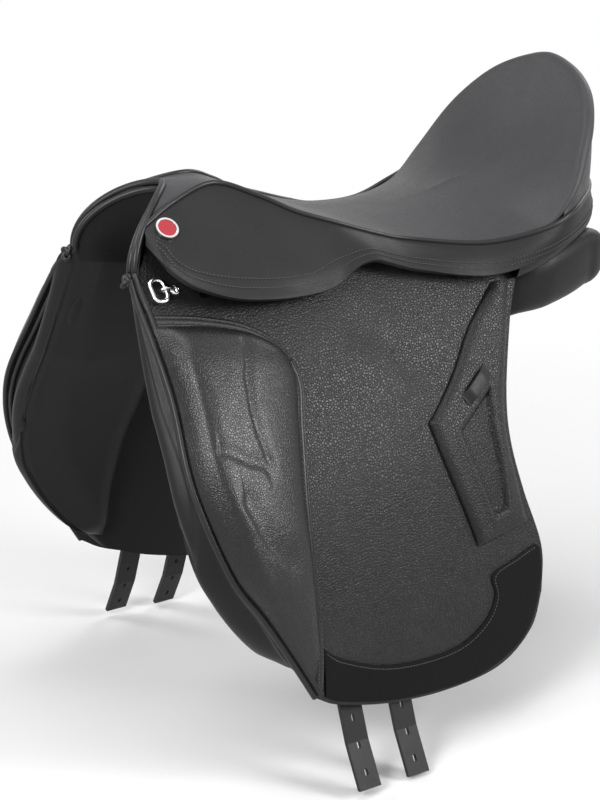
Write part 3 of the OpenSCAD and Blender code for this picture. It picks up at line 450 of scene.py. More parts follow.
class Wire:
    """One output of a shader node, with arithmetic."""

    def __init__(self, tree: bpy.types.NodeTree, socket: bpy.types.NodeSocket) -> None:
        """Keeps the node tree and the socket."""
        self.tree = tree
        self.socket = socket

    def __add__(self, other: "Wire | float") -> "Wire":
        """Returns the sum."""
        return maths(self.tree, "ADD", self, other)

    def __mul__(self, other: "Wire | float") -> "Wire":
        """Returns the product."""
        return maths(self.tree, "MULTIPLY", self, other)

    def __sub__(self, other: "Wire | float") -> "Wire":
        """Returns the difference."""
        return maths(self.tree, "SUBTRACT", self, other)

    def step(self, low: float, high: float) -> "Wire":
        """Returns a clamped ramp from 0 at low to 1 at high."""
        result = maths(self.tree, "DIVIDE", self - low, high - low)
        result.socket.node.use_clamp = True
        return result


def feed(slot: bpy.types.NodeSocket, value: object) -> None:
    """Gives a socket a wire or a value."""
    if isinstance(value, Wire):
        value.tree.links.new(value.socket, slot)
    else:
        slot.default_value = value


def maths(tree: bpy.types.NodeTree, operation: str, *values: Wire | float) -> Wire:
    """Adds a maths node.

    Args:
        tree: The node tree.
        operation: Name of the operation.
        values: Its inputs, wires or numbers.

    Returns:
        The result.
    """
    node = tree.nodes.new("ShaderNodeMath")
    node.operation = operation
    for slot, value in zip(node.inputs, values):
        feed(slot, value)
    return Wire(tree, node.outputs[0])


class Dye:
    """A material while its nodes are being made."""

    def __init__(self, name: str) -> None:
        """Starts an empty material with its surface shader."""
        self.material = bpy.data.materials.new(name)
        self.material.use_nodes = True
        self.tree = self.material.node_tree
        self.shader = self.tree.nodes["Principled BSDF"]
        self.place = self.wire(self.node("ShaderNodeTexCoord"), "Object")

    def wire(self, node: bpy.types.Node, output: str | int) -> Wire:
        """Returns an output of a node."""
        return Wire(self.tree, node.outputs[output])

    def node(self, kind: str, settings: dict | None = None, **inputs: object) -> bpy.types.Node:
        """Makes any node.

        Args:
            kind: Type name of the node.
            settings: Attributes of the node.
            inputs: Input sockets by name with underscores for spaces; a wire or a value each.

        Returns:
            The node.
        """
        node = self.tree.nodes.new(kind)
        for key, value in (settings or {}).items():
            setattr(node, key, value)
        for key, value in inputs.items():
            feed(node.inputs[key.replace("_", " ")], value)
        return node

    def noise(self, scale: float, detail: float = 3.0, where: Wire | None = None) -> Wire:
        """Returns a noise value at a scale per metre."""
        place = where or self.place
        return self.wire(self.node("ShaderNodeTexNoise", Vector=place, Scale=scale, Detail=detail), "Fac")

    def cells(self, scale: float, feature: str, where: Wire) -> Wire:
        """Returns the distance value of a cell pattern at a scale per metre."""
        kind = {"feature": feature}
        return self.wire(self.node("ShaderNodeTexVoronoi", kind, Vector=where, Scale=scale), "Distance")

    def blend(self, share: Wire, low: Sequence[float], high: Sequence[float]) -> Wire:
        """Returns a colour between two by share."""
        made = self.node("ShaderNodeMix", {"data_type": "RGBA"})
        for slot, value in ((0, share), (6, (*low, 1)), (7, (*high, 1))):
            feed(made.inputs[slot], value)
        return self.wire(made, 2)

    def set(self, **inputs: object) -> None:
        """Sets inputs of the surface shader, wires or values."""
        for key, value in inputs.items():
            feed(self.shader.inputs[key.replace("_", " ")], value)

    def bump(self, height: Wire, distance: float, strength: float) -> None:
        """Gives the shader a normal from a height, with the height's distance in metres."""
        made = self.node("ShaderNodeBump", Height=height, Distance=distance, Strength=strength)
        self.set(Normal=self.wire(made, "Normal"))


@dataclass(frozen=True)
class Finish:
    """A material that is made when the first piece needs it."""

    name: str

    def colour(self, dye: Dye) -> None:
        """Sets the nodes of the material."""
        raise NotImplementedError(self.name)

    @cached_property
    def material(self) -> bpy.types.Material:
        """Returns the material, made once."""
        dye = Dye(self.name)
        self.colour(dye)
        return dye.material


@dataclass(frozen=True)
class Leather(Finish):
    """A dyed leather: its tone, gloss and grain, the grain's size and depth in millimetres."""

    dark: float = 0.012
    light: float = 0.022
    rough: float = 0.5
    spread: float = 0.12
    grain: float = 1.1
    depth: float = 0.1
    strength: float = 0.5
    gloss: float = 0.5
    coat: float = 0.0
    cloud_scale: float = 14
    patch_scale: float = 60

    def colour(self, dye: Dye) -> None:
        """Sets the nodes: pebbles between creases, shifted by noise, with clouds of tone and gloss, and painted
        shade that darkens the creases.
        """
        scale = 1000 / self.grain
        sway = dye.node("ShaderNodeTexNoise", Vector=dye.place, Scale=scale * 0.6, Detail=2.0)
        shift = dye.node("ShaderNodeMix", {"data_type": "VECTOR"})
        for slot, value in ((0, 0.0004 * self.grain), (4, dye.place), (5, dye.wire(sway, "Color"))):
            feed(shift.inputs[slot], value)
        bent = dye.wire(shift, 1)
        pebble = dye.cells(scale, "SMOOTH_F1", bent)
        crease = dye.cells(scale, "DISTANCE_TO_EDGE", bent).step(0.0, 0.22)
        fine = dye.noise(scale * 3.5)
        cloud = dye.noise(self.cloud_scale, 4.0)
        patch = dye.noise(self.patch_scale)
        height = crease * 0.8 - pebble * 0.6 + fine * 0.25
        # Tone: random clouds and patches of the leather, with painted shade that darkens the creases between
        # pebbles.
        tone = (cloud * 0.5 + crease * 0.55 + patch * 0.3 + fine * 0.3).step(0.45, 1.35)
        low, high = ((c, c, c * 1.06) for c in (self.dark, self.light))
        rough = (cloud - 0.5) * self.spread + (patch - 0.5) * self.spread - crease * 0.2
        dye.set(Base_Color=dye.blend(tone, low, high), Roughness=rough + (self.rough + 0.14))
        dye.set(Specular_IOR_Level=self.gloss, Coat_Weight=self.coat, Coat_Roughness=0.25)
        dye.bump(height, self.depth * MM, self.strength)


@dataclass(frozen=True)
class Metal(Finish):
    """A polished or plain metal."""

    tone: Triple
    rough: float

    def colour(self, dye: Dye) -> None:
        """Sets the nodes: smears of gloss and fine scratches."""
        smear, scratch = dye.noise(220, 4.0), dye.noise(2600, 2.0)
        dye.set(Base_Color=dye.blend(smear, tuple(0.9 * c for c in self.tone), self.tone))
        dye.set(Metallic=1.0, Roughness=smear * 0.12 + (self.rough - 0.03))
        dye.bump(scratch, 0.04 * MM, 0.25)


@dataclass(frozen=True)
class Enamel(Finish):
    """Glossy enamel."""

    tone: Triple

    def colour(self, dye: Dye) -> None:
        """Sets the nodes: a faintly cloudy colour under a clear coat."""
        cloud = dye.noise(300, 2.0)
        dye.set(Base_Color=dye.blend(cloud, tuple(0.85 * c for c in self.tone), self.tone))
        dye.set(Roughness=cloud * 0.06 + 0.14, Coat_Weight=0.6, Coat_Roughness=0.06)


@dataclass(frozen=True)
class Plain(Finish):
    """A dull material with a streaky or woven look: wood, webbing, foam or thread."""

    dark: Triple
    light: Triple
    rough: float
    scale: float
    stretch: Triple = (1, 1, 1)

    def colour(self, dye: Dye) -> None:
        """Sets the nodes: one noise for colour, gloss and height."""
        turned = dye.node("ShaderNodeMapping", Vector=dye.place, Scale=self.stretch)
        grain = dye.noise(self.scale, 5.0, dye.wire(turned, "Vector"))
        dye.set(Base_Color=dye.blend(grain.step(0.3, 0.7), self.dark, self.light))
        dye.set(Roughness=grain * 0.15 + (self.rough - 0.07))
        dye.bump(grain, 0.3 * MM, 0.4)


@dataclass(frozen=True)
class Finishes:
    """Every finish of the saddle."""

    # Seat and skirt are one leather painted as a lit and a shaded copy: the seat's lighter tones are painted
    # highlight, the skirt's darker tones painted shade.
    seat: Finish = Leather("seat leather", 0.028, 0.05, 0.45, grain=1.3, strength=0.4, gloss=0.2)
    skirt: Finish = Leather("skirt leather", 0.009, 0.017, 0.45, grain=1.2, strength=0.4, gloss=0.17)
    hem: Finish = Leather("hem leather", 0.005, 0.008, 0.55, grain=1.0, depth=0.08, strength=0.3, gloss=0.06)
    grain: Finish = Leather("grain leather", 0.004, 0.018, 0.36, 0.14, 2.4, 0.24, 0.9, 0.22)
    block: Finish = Leather("block leather", 0.004, 0.016, 0.3, 0.12, 2.0, 0.16, 0.8, 0.3, 0.04)
    panel: Finish = Leather("panel leather", 0.008, 0.013, 0.38, grain=0.9, strength=0.4, gloss=0.17)
    lining: Finish = Leather("lining leather", 0.006, 0.01, 0.58, depth=0.08, gloss=0.13)
    strap: Finish = Leather("strap leather", 0.008, 0.015, 0.42, grain=0.8, depth=0.08, strength=0.4, gloss=0.2)
    piping: Finish = Leather(
        "piping leather", 0.007, 0.013, 0.33, grain=0.7, depth=0.06, strength=0.35, gloss=0.28
    )
    thread: Finish = Plain("thread", (0.006, 0.006, 0.006), (0.022, 0.022, 0.023), 0.5, 2500)
    chrome: Finish = Metal("chrome", (0.9, 0.9, 0.91), 0.15)
    steel: Finish = Metal("steel", (0.55, 0.55, 0.56), 0.34)
    blued: Finish = Metal("blued steel", (0.03, 0.03, 0.034), 0.42)
    enamel: Finish = Enamel("enamel", (0.33, 0.008, 0.018))
    wood: Finish = Plain("wood", (0.3, 0.19, 0.1), (0.46, 0.31, 0.17), 0.6, 60, (0.2, 1.5, 1.5))
    webbing: Finish = Plain("webbing", (0.3, 0.27, 0.2), (0.5, 0.46, 0.37), 0.85, 700)
    foam: Finish = Plain("foam", (0.42, 0.38, 0.28), (0.55, 0.5, 0.38), 0.9, 900)


LOOKS = Finishes()


STITCH_SIDES = 6
STITCH_RINGS = ((0, 0.25, -0.15), (0.22, 0.55, 0.2), (0.78, 0.55, 0.2), (1, 0.25, -0.15))


def pick(*pieces: Piece) -> None:
    """Selects only the pieces and makes the last one active."""
    bpy.ops.object.select_all(action="DESELECT")
    for piece in pieces:
        piece.select_set(True)
        bpy.context.view_layer.objects.active = piece


def add_object(name: str, data: bpy.types.ID) -> Piece:
    """Puts a new object with its data into the scene."""
    piece = bpy.data.objects.new(name, data)
    bpy.context.scene.collection.objects.link(piece)
    return piece


def edit_mesh(piece: Piece, *steps: Callable[[], object]) -> None:
    """Runs edit-mode steps on the whole of a piece."""
    pick(piece)
    bpy.ops.object.mode_set(mode="EDIT")
    bpy.ops.mesh.select_all(action="SELECT")
    for step in steps:
        step()
    bpy.ops.object.mode_set(mode="OBJECT")


def apply_modifier(piece: Piece, kind: str, **settings: object) -> None:
    """Adds a modifier with settings and applies it."""
    pick(piece)
    added = piece.modifiers.new(kind.title(), kind)
    for key, value in settings.items():
        setattr(added, key, value)
    bpy.ops.object.modifier_apply(modifier=added.name)


def turn_out() -> None:
    """Turns the selected faces outward."""
    bpy.ops.mesh.normals_make_consistent(inside=False)


def weld(piece: Piece, reach: float = 0.02) -> None:
    """Merges points closer than reach and turns the faces outward."""
    edit_mesh(piece, lambda: bpy.ops.mesh.remove_doubles(threshold=reach * MM), turn_out)


def smooth(piece: Piece, angle: float) -> None:
    """Shades a piece smooth up to an angle in degrees."""
    pick(piece)
    bpy.ops.object.shade_smooth_by_angle(angle=math.radians(angle))


def make_grid(name: str, columns: int, rows: int, place: Place) -> Piece:
    """Makes a grid and moves its points.

    Args:
        name: Name of the piece.
        columns: Faces along u.
        rows: Faces along v.
        place: Gives the point, in millimetres, for u and v from 0 to 1.

    Returns:
        The piece.
    """
    pick()
    bpy.ops.mesh.primitive_grid_add(x_subdivisions=columns, y_subdivisions=rows, size=1)
    piece = bpy.context.object
    piece.name = piece.data.name = name
    for point in piece.data.vertices:
        u, v = point.co.x + 0.5, point.co.y + 0.5
        point.co = Vector(place(clamp(u), clamp(v)) * MM)
    return piece


def face_out(piece: Piece, outward: Point) -> None:
    """Turns an open sheet so that its faces look along outward on the whole."""
    mean = np.sum([np.array(f.normal) * f.area for f in piece.data.polygons], axis=0)
    if float(mean @ outward) < 0:
        edit_mesh(piece, bpy.ops.mesh.flip_normals)


def thicken(piece: Piece, thick: float, rounding: float = 0.0) -> None:
    """Gives a sheet its thickness inward and rounds its edges."""
    apply_modifier(piece, "SOLIDIFY", thickness=thick * MM, offset=-1.0, use_even_offset=False)
    if rounding:
        sharp = {"limit_method": "ANGLE", "angle_limit": math.radians(55)}
        apply_modifier(piece, "BEVEL", width=rounding * MM, segments=3, **sharp)
    smooth(piece, 45)


def make_sheet(
    name: str, size: tuple[int, int], place: Place, thick: Couple, finish: Finish, out: Point = OUTWARD
) -> Piece:
    """Makes a leather from a grid.

    Args:
        name: Name of the piece.
        size: Faces of the grid along u and v.
        place: Gives the points of its face.
        thick: Its thickness, and the rounding of its edges.
        finish: Its finish.
        out: Direction that it faces on the whole.

    Returns:
        The piece.
    """
    piece = make_grid(name, *size, place)
    face_out(piece, out)
    thicken(piece, *thick)
    return paint(piece, finish)


def make_cord(name: str, path: Sequence[Point], radius: float, finish: Finish, ring: bool = False) -> Piece:
    """Makes a round cord along a path, with closed ends or as a ring."""
    line = bpy.data.curves.new(name, "CURVE")
    line.dimensions = "3D"
    line.bevel_depth = radius * MM
    line.bevel_resolution = 4
    line.use_fill_caps = True
    strand = line.splines.new("POLY")
    strand.points.add(len(path) - 1)
    strand.use_cyclic_u = ring
    for point, p in zip(strand.points, path):
        point.co = (*(np.asarray(p) * MM), 1)
    pick(add_object(name, line))
    bpy.ops.object.convert(target="MESH")
    piece = bpy.context.object
    piece.name = piece.data.name = name
    smooth(piece, 60)
    return paint(piece, finish)


def make_stitches(
    name: str, path: Sequence[Point], outs: Sequence[Point], stitch: Couple, finish: Finish
) -> Piece:
    """Makes a row of stitches along a path.

    Args:
        name: Name of the piece.
        path: Points of the seam.
        outs: Outward direction at each point.
        stitch: Distance from stitch to stitch, and length of a stitch.
        finish: Finish of the thread.

    Returns:
        The piece, one mesh for the whole row.
    """
    pitch, length = stitch
    line, ways = np.array(path), np.array(outs)
    steps = lengths(line)
    points: list[Point] = []
    faces: list[tuple[int, ...]] = []
    turns = np.linspace(0, 2 * math.pi, STITCH_SIDES, endpoint=False)
    for start in np.arange(pitch * 0.5, steps[-1] - length, pitch):
        head, tail = (read_off(steps, line, start + offset) for offset in (0, length))
        out = unit(read_off(steps, ways, start))
        side = unit(np.cross(out, unit(tail - head)))
        first = len(points)
        for share, size, lift in STITCH_RINGS:
            middle = mix(head, tail, share) + out * lift
            points += [middle + size * (math.cos(t) * side + math.sin(t) * 0.8 * out) for t in turns]
        for a in range(first, first + STITCH_SIDES * (len(STITCH_RINGS) - 1), STITCH_SIDES):
            for i in range(STITCH_SIDES):
                j = (i + 1) % STITCH_SIDES
                faces.append((a + i, a + j, a + STITCH_SIDES + j, a + STITCH_SIDES + i))
        last = first + STITCH_SIDES * (len(STITCH_RINGS) - 1)
        faces.append(tuple(range(first + STITCH_SIDES - 1, first - 1, -1)))
        faces.append(tuple(range(last, last + STITCH_SIDES)))
    mesh = bpy.data.meshes.new(name)
    mesh.from_pydata([tuple(p * MM) for p in points], [], faces)
    piece = add_object(name, mesh)
    edit_mesh(piece, turn_out)
    smooth(piece, 60)
    return paint(piece, finish)


def paint(piece: Piece, finish: Finish) -> Piece:
    """Gives a piece the material of a finish."""
    piece.data.materials.clear()
    piece.data.materials.append(finish.material)
    return piece


def other_side(piece: Piece, name: str) -> Piece:
    """Returns a copy of a near piece on the off side, with its own mesh."""
    copy = add_object(name, piece.data.copy())
    copy.data.name = name
    copy.data.transform(Matrix.Diagonal((1, -1, 1, 1)))
    copy.data.flip_normals()
    return copy


@dataclass(frozen=True)
class Joined:
    """How a piece moves: with one body; a piece given a line from start to end only has its transform baked and
    is tied to no body.
    """

    body: str = "saddle"
    start: Triple | None = None
    end: Triple | None = None

    def tie(self, piece: Piece, side: Side) -> None:
        """Makes a piece follow its body on a side; a piece given a line only has its transform baked."""
        name = self.body if self.body == "saddle" else f"{side.word}_{self.body}"
        if self.start is None or self.end is None:
            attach(piece, name)
            return
        start, end = (side.of(vec(*p)) * MM for p in (self.start, self.end))
        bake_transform(piece)


class Maker:
    """Common to the classes that make pieces of one sub-assembly."""

    def settle(
        self, piece: Piece, slot: str, joined: Joined = Joined(), side: Side = Side.NEAR,
        nodes: Sequence[str] = (), fill: float | None = None,
    ) -> None:
        """Ties a finished piece to its body and hides the solids that it stands for.

        Args:
            piece: The piece.
            slot: Not used.
            joined: How it moves; with the saddle if left out.
            side: Side that it is on.
            nodes: Names of the solids that it stands for.
            fill: Not used.
        """
        joined.tie(piece, side)
        if nodes:
            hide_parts(*nodes)
        log.info("%s: %d faces", piece.name, len(piece.data.polygons))

    def pair(
        self, piece: Piece, slot: str, joined: Joined = Joined(), nodes: Sequence[str] = (),
        fill: float | None = None,
    ) -> None:
        """Settles a near piece and its copy on the off side.

        Args:
            piece: The near piece, whose name begins with near_.
            slot: Passed on to settle, which does not use it.
            joined: How it moves.
            nodes: Names of the solids that it stands for, without their side.
            fill: Passed on to settle, which does not use it.
        """
        copy = other_side(piece, piece.name.replace("near_", "off_", 1))
        for each, side in ((piece, Side.NEAR), (copy, Side.OFF)):
            self.settle(each, slot, joined, side, [f"{side.word}_{node}" for node in nodes], fill)


@dataclass
class Seat(Maker):
    """Seat leather with its rolled rim, the leather behind the cantle and the welt.

    The rim is tucked in along the skirts and rolls over along the cantle: roll_from is where
    the roll begins on the edge, roll_run the length over which it grows, and flat the share of
    a row that lies before the rim.
    """

    form: SeatForm = SeatForm()
    thick: float = 2.4
    roll: float = 7.5
    tuck: float = 2.2
    welt: float = 2.5
    roll_from: float = 9.2
    roll_run: float = 1.6
    flat: float = 0.8
    rim_turn: Couple = (105, 185)
    back_from: float = 9.6

    def profile(self, s: float, p: float) -> Point:
        """Returns a point of the seat leather, from the middle at p 0 round the rim at p 1."""
        rise = ease((s - self.roll_from) / self.roll_run)
        radius = mix(self.tuck, self.roll, rise)
        span = float(np.linalg.norm(self.form.edge(s) - self.form.spine(s)))
        rim = mix(self.tuck + 0.4, 4.0, rise) / span
        if p <= self.flat:
            return self.form.at(s, 1 - (1 - rim) * (p / self.flat))
        foot, n = self.form.at(s, rim), self.form.out(s, rim)
        way = unit(self.form.at(s, max(rim - 0.02, 0)) - self.form.at(s, rim + 0.02))
        turn = math.radians((p - self.flat) / (1 - self.flat) * mix(*self.rim_turn, rise))
        return foot - radius * n + radius * (math.cos(turn) * n + math.sin(turn) * way)

    def leather(self, u: float, v: float) -> Point:
        """Returns a point of the near half of the seat leather."""
        return centred(self.profile(u * self.form.last, v), v < TINY or u > 1 - TINY)

    def back(self, u: float, v: float) -> Point:
        """Returns a point of the near half of the leather behind the cantle."""
        s = mix(self.back_from, self.form.last, u)
        top = self.profile(s, 1.0)
        foot = self.form.top(s) + vec(0, 0, 0.5)
        h = float(np.linalg.norm(foot - top))
        start = top + vec(0, 0, 4) * min(h / 30, 1)
        return centred(mix(start, foot, v) + vec(-0.1 * h * v * (1 - v), 0, 0), u > 1 - TINY)

    def build(self) -> None:
        """Makes the seat, the back of the cantle and the welt."""
        self.leather_of("seat", (150, 60), self.leather, vec(0, 0, 1), "seat_cover", 0.7)
        self.leather_of("cantle_back_leather", (60, 24), self.back, vec(-1, 0, 0), "cantle_back")
        half = [self.form.top(s) for s in np.linspace(0, self.form.last, 180)]
        path = half + [p * vec(1, -1, 1) for p in half[-2::-1]]
        welt = make_cord("seat_piping", path, self.welt, LOOKS.piping)
        self.settle(welt, "seat_leather", nodes=["seat_welt"])

    def leather_of(
        self, name: str, size: tuple[int, int], place: Place, out: Point, node: str, fill: float | None = None
    ) -> None:
        """Makes one leather of two like halves.

        Args:
            name: Name of the piece.
            size: Faces along the near half and across it.
            place: Gives its points.
            out: Direction that it faces on the whole.
            node: Solid that it stands for.
            fill: Passed on to settle, which does not use it.
        """
        near = make_grid(name, *size, place)
        pick(other_side(near, name + "_off"), near)
        bpy.ops.object.join()
        weld(near, 0.05)
        face_out(near, out)
        thicken(near, self.thick)
        paint(near, LOOKS.seat)
        self.settle(near, "seat_leather", nodes=[node], fill=fill)


@dataclass
class Skirts(Maker):
    """Skirts with their free lobes, the band round the cantle and the facing under it.

    facing_rows gives, for each row of the facing, its distance in from the skirt's foot and its
    height over it.
    """

    form: SkirtForm = SkirtForm(SeatForm())
    seams: Sequence[float] = (5.5, 10)
    seam_run: Couple = (0.25, 14.95)
    stitch: Couple = (3.2, 2.3)
    facing_from: float = 8.7
    facing_rows: Pairs = ((5, 3), (6.2, -4), (12, -13), (26, -15))
    joined: Joined = Joined("skirt_lobe", (118.3, 81.9, 105.6), (120.2, 87.5, 100.1))

    def leather(self, u: float, v: float) -> Point:
        """Returns a point of the outer face."""
        return centred(self.form.at(mix(0.02, self.form.seat.last, u), v), u > 1 - TINY)

    def facing(self, u: float, v: float) -> Point:
        """Returns a point of the leather that closes the gap between skirt and panel."""
        s = mix(self.facing_from, self.form.seat.last, u)
        foot = self.form.foot(s)
        along = unit((foot - self.form.foot(s - 0.1)) * vec(1, 1, 0))
        inward, rise = on_line(self.facing_rows, v)
        return centred(foot + inward * vec(-along[1], along[0], 0) + vec(0, 0, rise), u > 1 - TINY)

    def seam(self, inset: float) -> tuple[list[Point], list[Point]]:
        """Returns the points and outward directions of a seam at a distance from the foot."""
        path, outs = [], []
        for s in np.linspace(*self.seam_run, 500):
            row = float(np.linalg.norm(self.form.foot(s) - self.form.bend(s))) * 1.7 + 1
            v = 1 - min(inset / row, 0.4)
            p = self.form.at(s, v)
            along = self.form.at(s + 0.02, v) - self.form.at(s - 0.02, v)
            out = unit(np.cross(self.form.at(s, v - 0.05) - p, along))
            outs.append(out if out[1] + out[0] * -0.3 > 0 else -out)
            path.append(p + outs[-1] * 0.15)
        return path, outs

    def build(self) -> None:
        """Makes both skirts, their stitching and the facings."""
        out, thick = vec(0, 1, 0.3), (self.form.thick, 1.1)
        near = make_sheet("near_skirt_leather", (170, 30), self.leather, thick, LOOKS.skirt, out)
        self.pair(near, "seat_leather", self.joined, ["skirt", "skirt_lobe"])
        for count, inset in enumerate(self.seams, 1):
            name = f"near_skirt_stitches_{count}"
            row = make_stitches(name, *self.seam(inset), self.stitch, LOOKS.thread)
            self.pair(row, "seat_leather", self.joined)
        out = vec(-0.5, 1, -0.3)
        strip = make_sheet("near_rear_facing", (90, 16), self.facing, (1.2, 0), LOOKS.panel, out)
        self.pair(strip, "panel_leather")


@dataclass
class Flaps(Maker):
    """Flaps with hem, leg block cover, rear pad, keeper and piping.

    Edges and lines are places (x, drop) on the flap. A crease has its depth and width before
    its line.
    """

    form: FlapForm = FlapForm()
    gap: float = 0.2
    stitch_share: float = 0.72
    head: float = 14
    head_rise: Pairs = (
        (-128, 0), (-102, 4), (-74, 8), (-37, 14), (0, 22), (28, 12), (42, 0), (158, 0), (168, 20),
        (190, 29), (205, 30), (214, 20), (228, 9),
    )
    hem_t: float = 1.5
    hem_seam: float = 3.5
    block_h: float = 20
    block_t: float = 2.2
    block_rear: Couple = (0.07, 0.6)
    block_top: Couple = (0.028, 0.15)
    block_foot: float = 0.5
    front_round: Pairs = ((0, 0), (0.05, 0.38), (0.1, 0.62), (0.155, 0.83), (0.23, 0.97), (0.29, 1), (1, 1))
    ridge_h: float = 0.9
    ridge_w: float = 7
    pad_h: float = 6.5
    pad_edge: float = 1.0
    pad_round: float = 10
    kite_depth: float = 4.6
    kite_seam: float = 4.5
    keeper_size: Couple = (40, 11.5)
    keeper_mid: Couple = (-68, 82)
    keeper_arch: float = 3.4
    cord: float = 2.7
    cord_at: Pairs = ((0.5, -2.0), (5.8, 1.2))
    binding: float = 9
    binding_h: float = 3.2
    binding_t: float = 1.2
    dent: Pairs = ((30, 26), (8, 40), (-14, 58), (-26, 74))
    dent_deep: float = 1.6
    dent_wide: float = 15
    outline: Patch = Patch(
        ((-144, 0), (228, 0)),
        ((-121, 272), (-107, 306), (-69, 333), (-8, 342), (61, 339.5), (117, 327.5), (143, 315)),
        ((-144, 0), (-127, 32), (-106, 88), (-100, 130), (-107, 176), (-123, 230), (-121, 272)),
        ((228, 0), (229, 58), (235, 126), (218, 195), (189, 240), (143, 315)),
    )
    cover: Patch = Patch(
        ((109, 45), (121, 29), (144, 17), (178, 10), (208, 7), (225, 6)),
        ((139.5, 309), (141.5, 310)),
        ((109, 45), (107, 64), (117, 97), (129, 149), (134, 197), (136, 247), (137, 282), (139.5, 309)),
        ((225, 6), (226.5, 58), (232.5, 126), (216, 193), (187, 237), (141.5, 310)),
    )
    pad: Patch = Patch(
        ((-133, 1), (-116, 1)),
        ((-105, 204), (-76, 211), (-46, 217)),
        ((-133, 1), (-119, 38), (-100, 88), (-94, 128), (-99, 175), (-105, 204)),
        (
            (-116, 1), (-79, 35), (-57, 62), (-39, 82), (-19, 101), (-13, 106), (-14, 113), (-22, 144),
            (-46, 217),
        ),
    )
    kite: Pairs = ((-83, 85), (-41, 117), (-64, 191), (-81, 188), (-81, 150), (-79, 118))
    hem_in: Pairs = (
        (133, 272), (115, 285), (72, 301), (27, 306), (-19, 302), (-50, 285), (-62, 264), (-60, 245),
        (-88, 235), (-114, 226),
    )
    hem_out: Pairs = (
        (133, 316), (115, 324.5), (64, 336), (10, 339), (-42, 336), (-86, 319), (-107, 297), (-118, 264),
        (-120, 246), (-119.5, 231),
    )
    creases: Sequence[tuple[float, float, Pairs]] = (
        (1.3, 1.8, ((157, 33), (169, 57), (174, 79), (175, 97), (172, 114))),
        (1.7, 2.6, ((214, 106), (205, 109), (191, 116), (176, 121))),
        (2.0, 4.0, ((203, 144), (196, 163), (188, 178), (172, 191))),
    )
    ridge: Pairs = ((205, 14), (212, 40), (216, 65), (219, 85), (221, 105), (219, 126), (213, 144), (203, 160))
    joined: Joined = Joined("flap", (42, 89.5, 67), (42.8, 94.04, 60.46))

    def build(self) -> None:
        """Makes both flaps with all that is sewn on them."""
        for make in (self.flap, self.hem, self.block, self.bind_block, self.rear_pad, self.keeper, self.piping):
            make()

    def sewn(
        self, piece: Piece, nodes: str = "", slot: str = "grain_leather", fill: float | None = None
    ) -> None:
        """Settles a piece that is sewn on the free part of the flap and stands for the solids named."""
        self.pair(piece, slot, Joined("flap"), nodes.split(), fill)

    def row(self, name: str, line: np.ndarray, n: float | np.ndarray, pitch: float = 3.2) -> None:
        """Makes a row of stitches along places on the flap.

        Args:
            name: Name of the seam.
            line: The places.
            n: Height over the flap, one for all or one for each place.
            pitch: Distance from stitch to stitch.
        """
        path = [self.form.lay(x, d, h) for (x, d), h in zip(line, np.broadcast_to(n, len(line)))]
        outs = [self.form.out(x, d) for x, d in line]
        stitch = (pitch, pitch * self.stitch_share)
        self.sewn(make_stitches(f"near_{name}_stitches", path, outs, stitch, LOOKS.thread))

    def flap(self) -> None:
        """Makes the leather of the flap, from under the skirt to its foot."""
        rows, above = 110, 6

        def place(u: float, v: float) -> Point:
            """Returns a point of the face."""
            k = v * (rows + above) - above
            x, d = self.outline.at(u, max(k, 0) / rows)
            if k >= 0:
                away = distance_to(self.dent, vec(x, d))
                return self.form.lay(x, d, -self.dent_deep * hump(away, self.dent_wide))
            rise = self.head + table(self.head_rise, x)
            return self.form.at(x + 6 * k / above * ease((x - 190) / 30), k / above * rise)

        size, thick = (90, rows + above), (self.form.thick, 1.2)
        piece = make_sheet("near_flap_leather", size, place, thick, LOOKS.grain)
        self.pair(piece, "grain_leather", self.joined, ["flap", "flap_head"])

    def hem_edges(self, t: float) -> tuple[Point, Point]:
        """Returns the places on the inner and outer edge of the hem at a share of its length."""
        return on_line(self.hem_in, t), on_line(self.hem_out, t)

    def hem(self) -> None:
        """Makes the smooth leather along the lower edge."""

        def place(u: float, v: float) -> Point:
            """Returns a point of the face, pressed down along its edges."""
            x, d = mix(*self.hem_edges(u), v)
            press = 0.5 * hump(v, 0.06) + 0.4 * hump(1 - v, 0.08)
            return self.form.lay(x, d, self.gap + self.hem_t - press)

        piece = make_sheet("near_hem_leather", (150, 20), place, (self.hem_t, 0.4), LOOKS.hem)
        self.sewn(piece, "flap_hem", "seat_leather")
        line = []
        for t in np.linspace(0.01, 0.99, 260):
            a, b = self.hem_edges(t)
            line.append(a + unit(b - a) * self.hem_seam)
        self.row("hem_1", np.array(line), self.gap + self.hem_t)

    def block_face(self, u: float, v: float) -> Point:
        """Returns a point of the leather over the leg block, with its ridge and creases."""
        place = self.cover.at(u, v)
        rear, top = ((t - start) / run for t, (start, run) in ((u, self.block_rear), (v, self.block_top)))
        across = dome(rear) * table(self.front_round, 1 - u)
        lift = self.block_h * across * dome(top) * ease((1 - v) / self.block_foot)
        lift += self.ridge_h * hump(distance_to(self.ridge, place), self.ridge_w) * ease((v - 0.03) / 0.12)
        for deep, wide, points in self.creases:
            line = np.array(points, float)
            behind = float(np.interp(place[1], line[:, 1], line[:, 0])) - place[0]
            lift -= deep * hump(distance_to(line, place), wide * mix(1, 3.5, ease(behind / 4 + 0.5)))
        return self.form.lay(*place, self.gap + self.block_t + lift)

    def block(self) -> None:
        """Makes the padded leather over the leg block."""
        size, thick = (120, 180), (self.block_t, 0.6)
        piece = make_sheet("near_block_leather", size, self.block_face, thick, LOOKS.block)
        self.sewn(piece, "block_cover leg_block", fill=0.8)

    def edge_of_cover(self, t: float) -> tuple[Point, Point]:
        """Returns a place on the rear and top edge of the block cover, and the direction into the cover."""
        turn = 0.74
        low, high = (0.0, turn - 1e-3) if t < turn else (turn, 1.0)

        def on(q: float) -> Point:
            """Returns the place at a share q of both edges, on the edge that t is on."""
            if t < turn:
                return self.cover.at(0, 0.985 - q / turn)
            return self.cover.at((q - turn) / (1 - turn), 0)

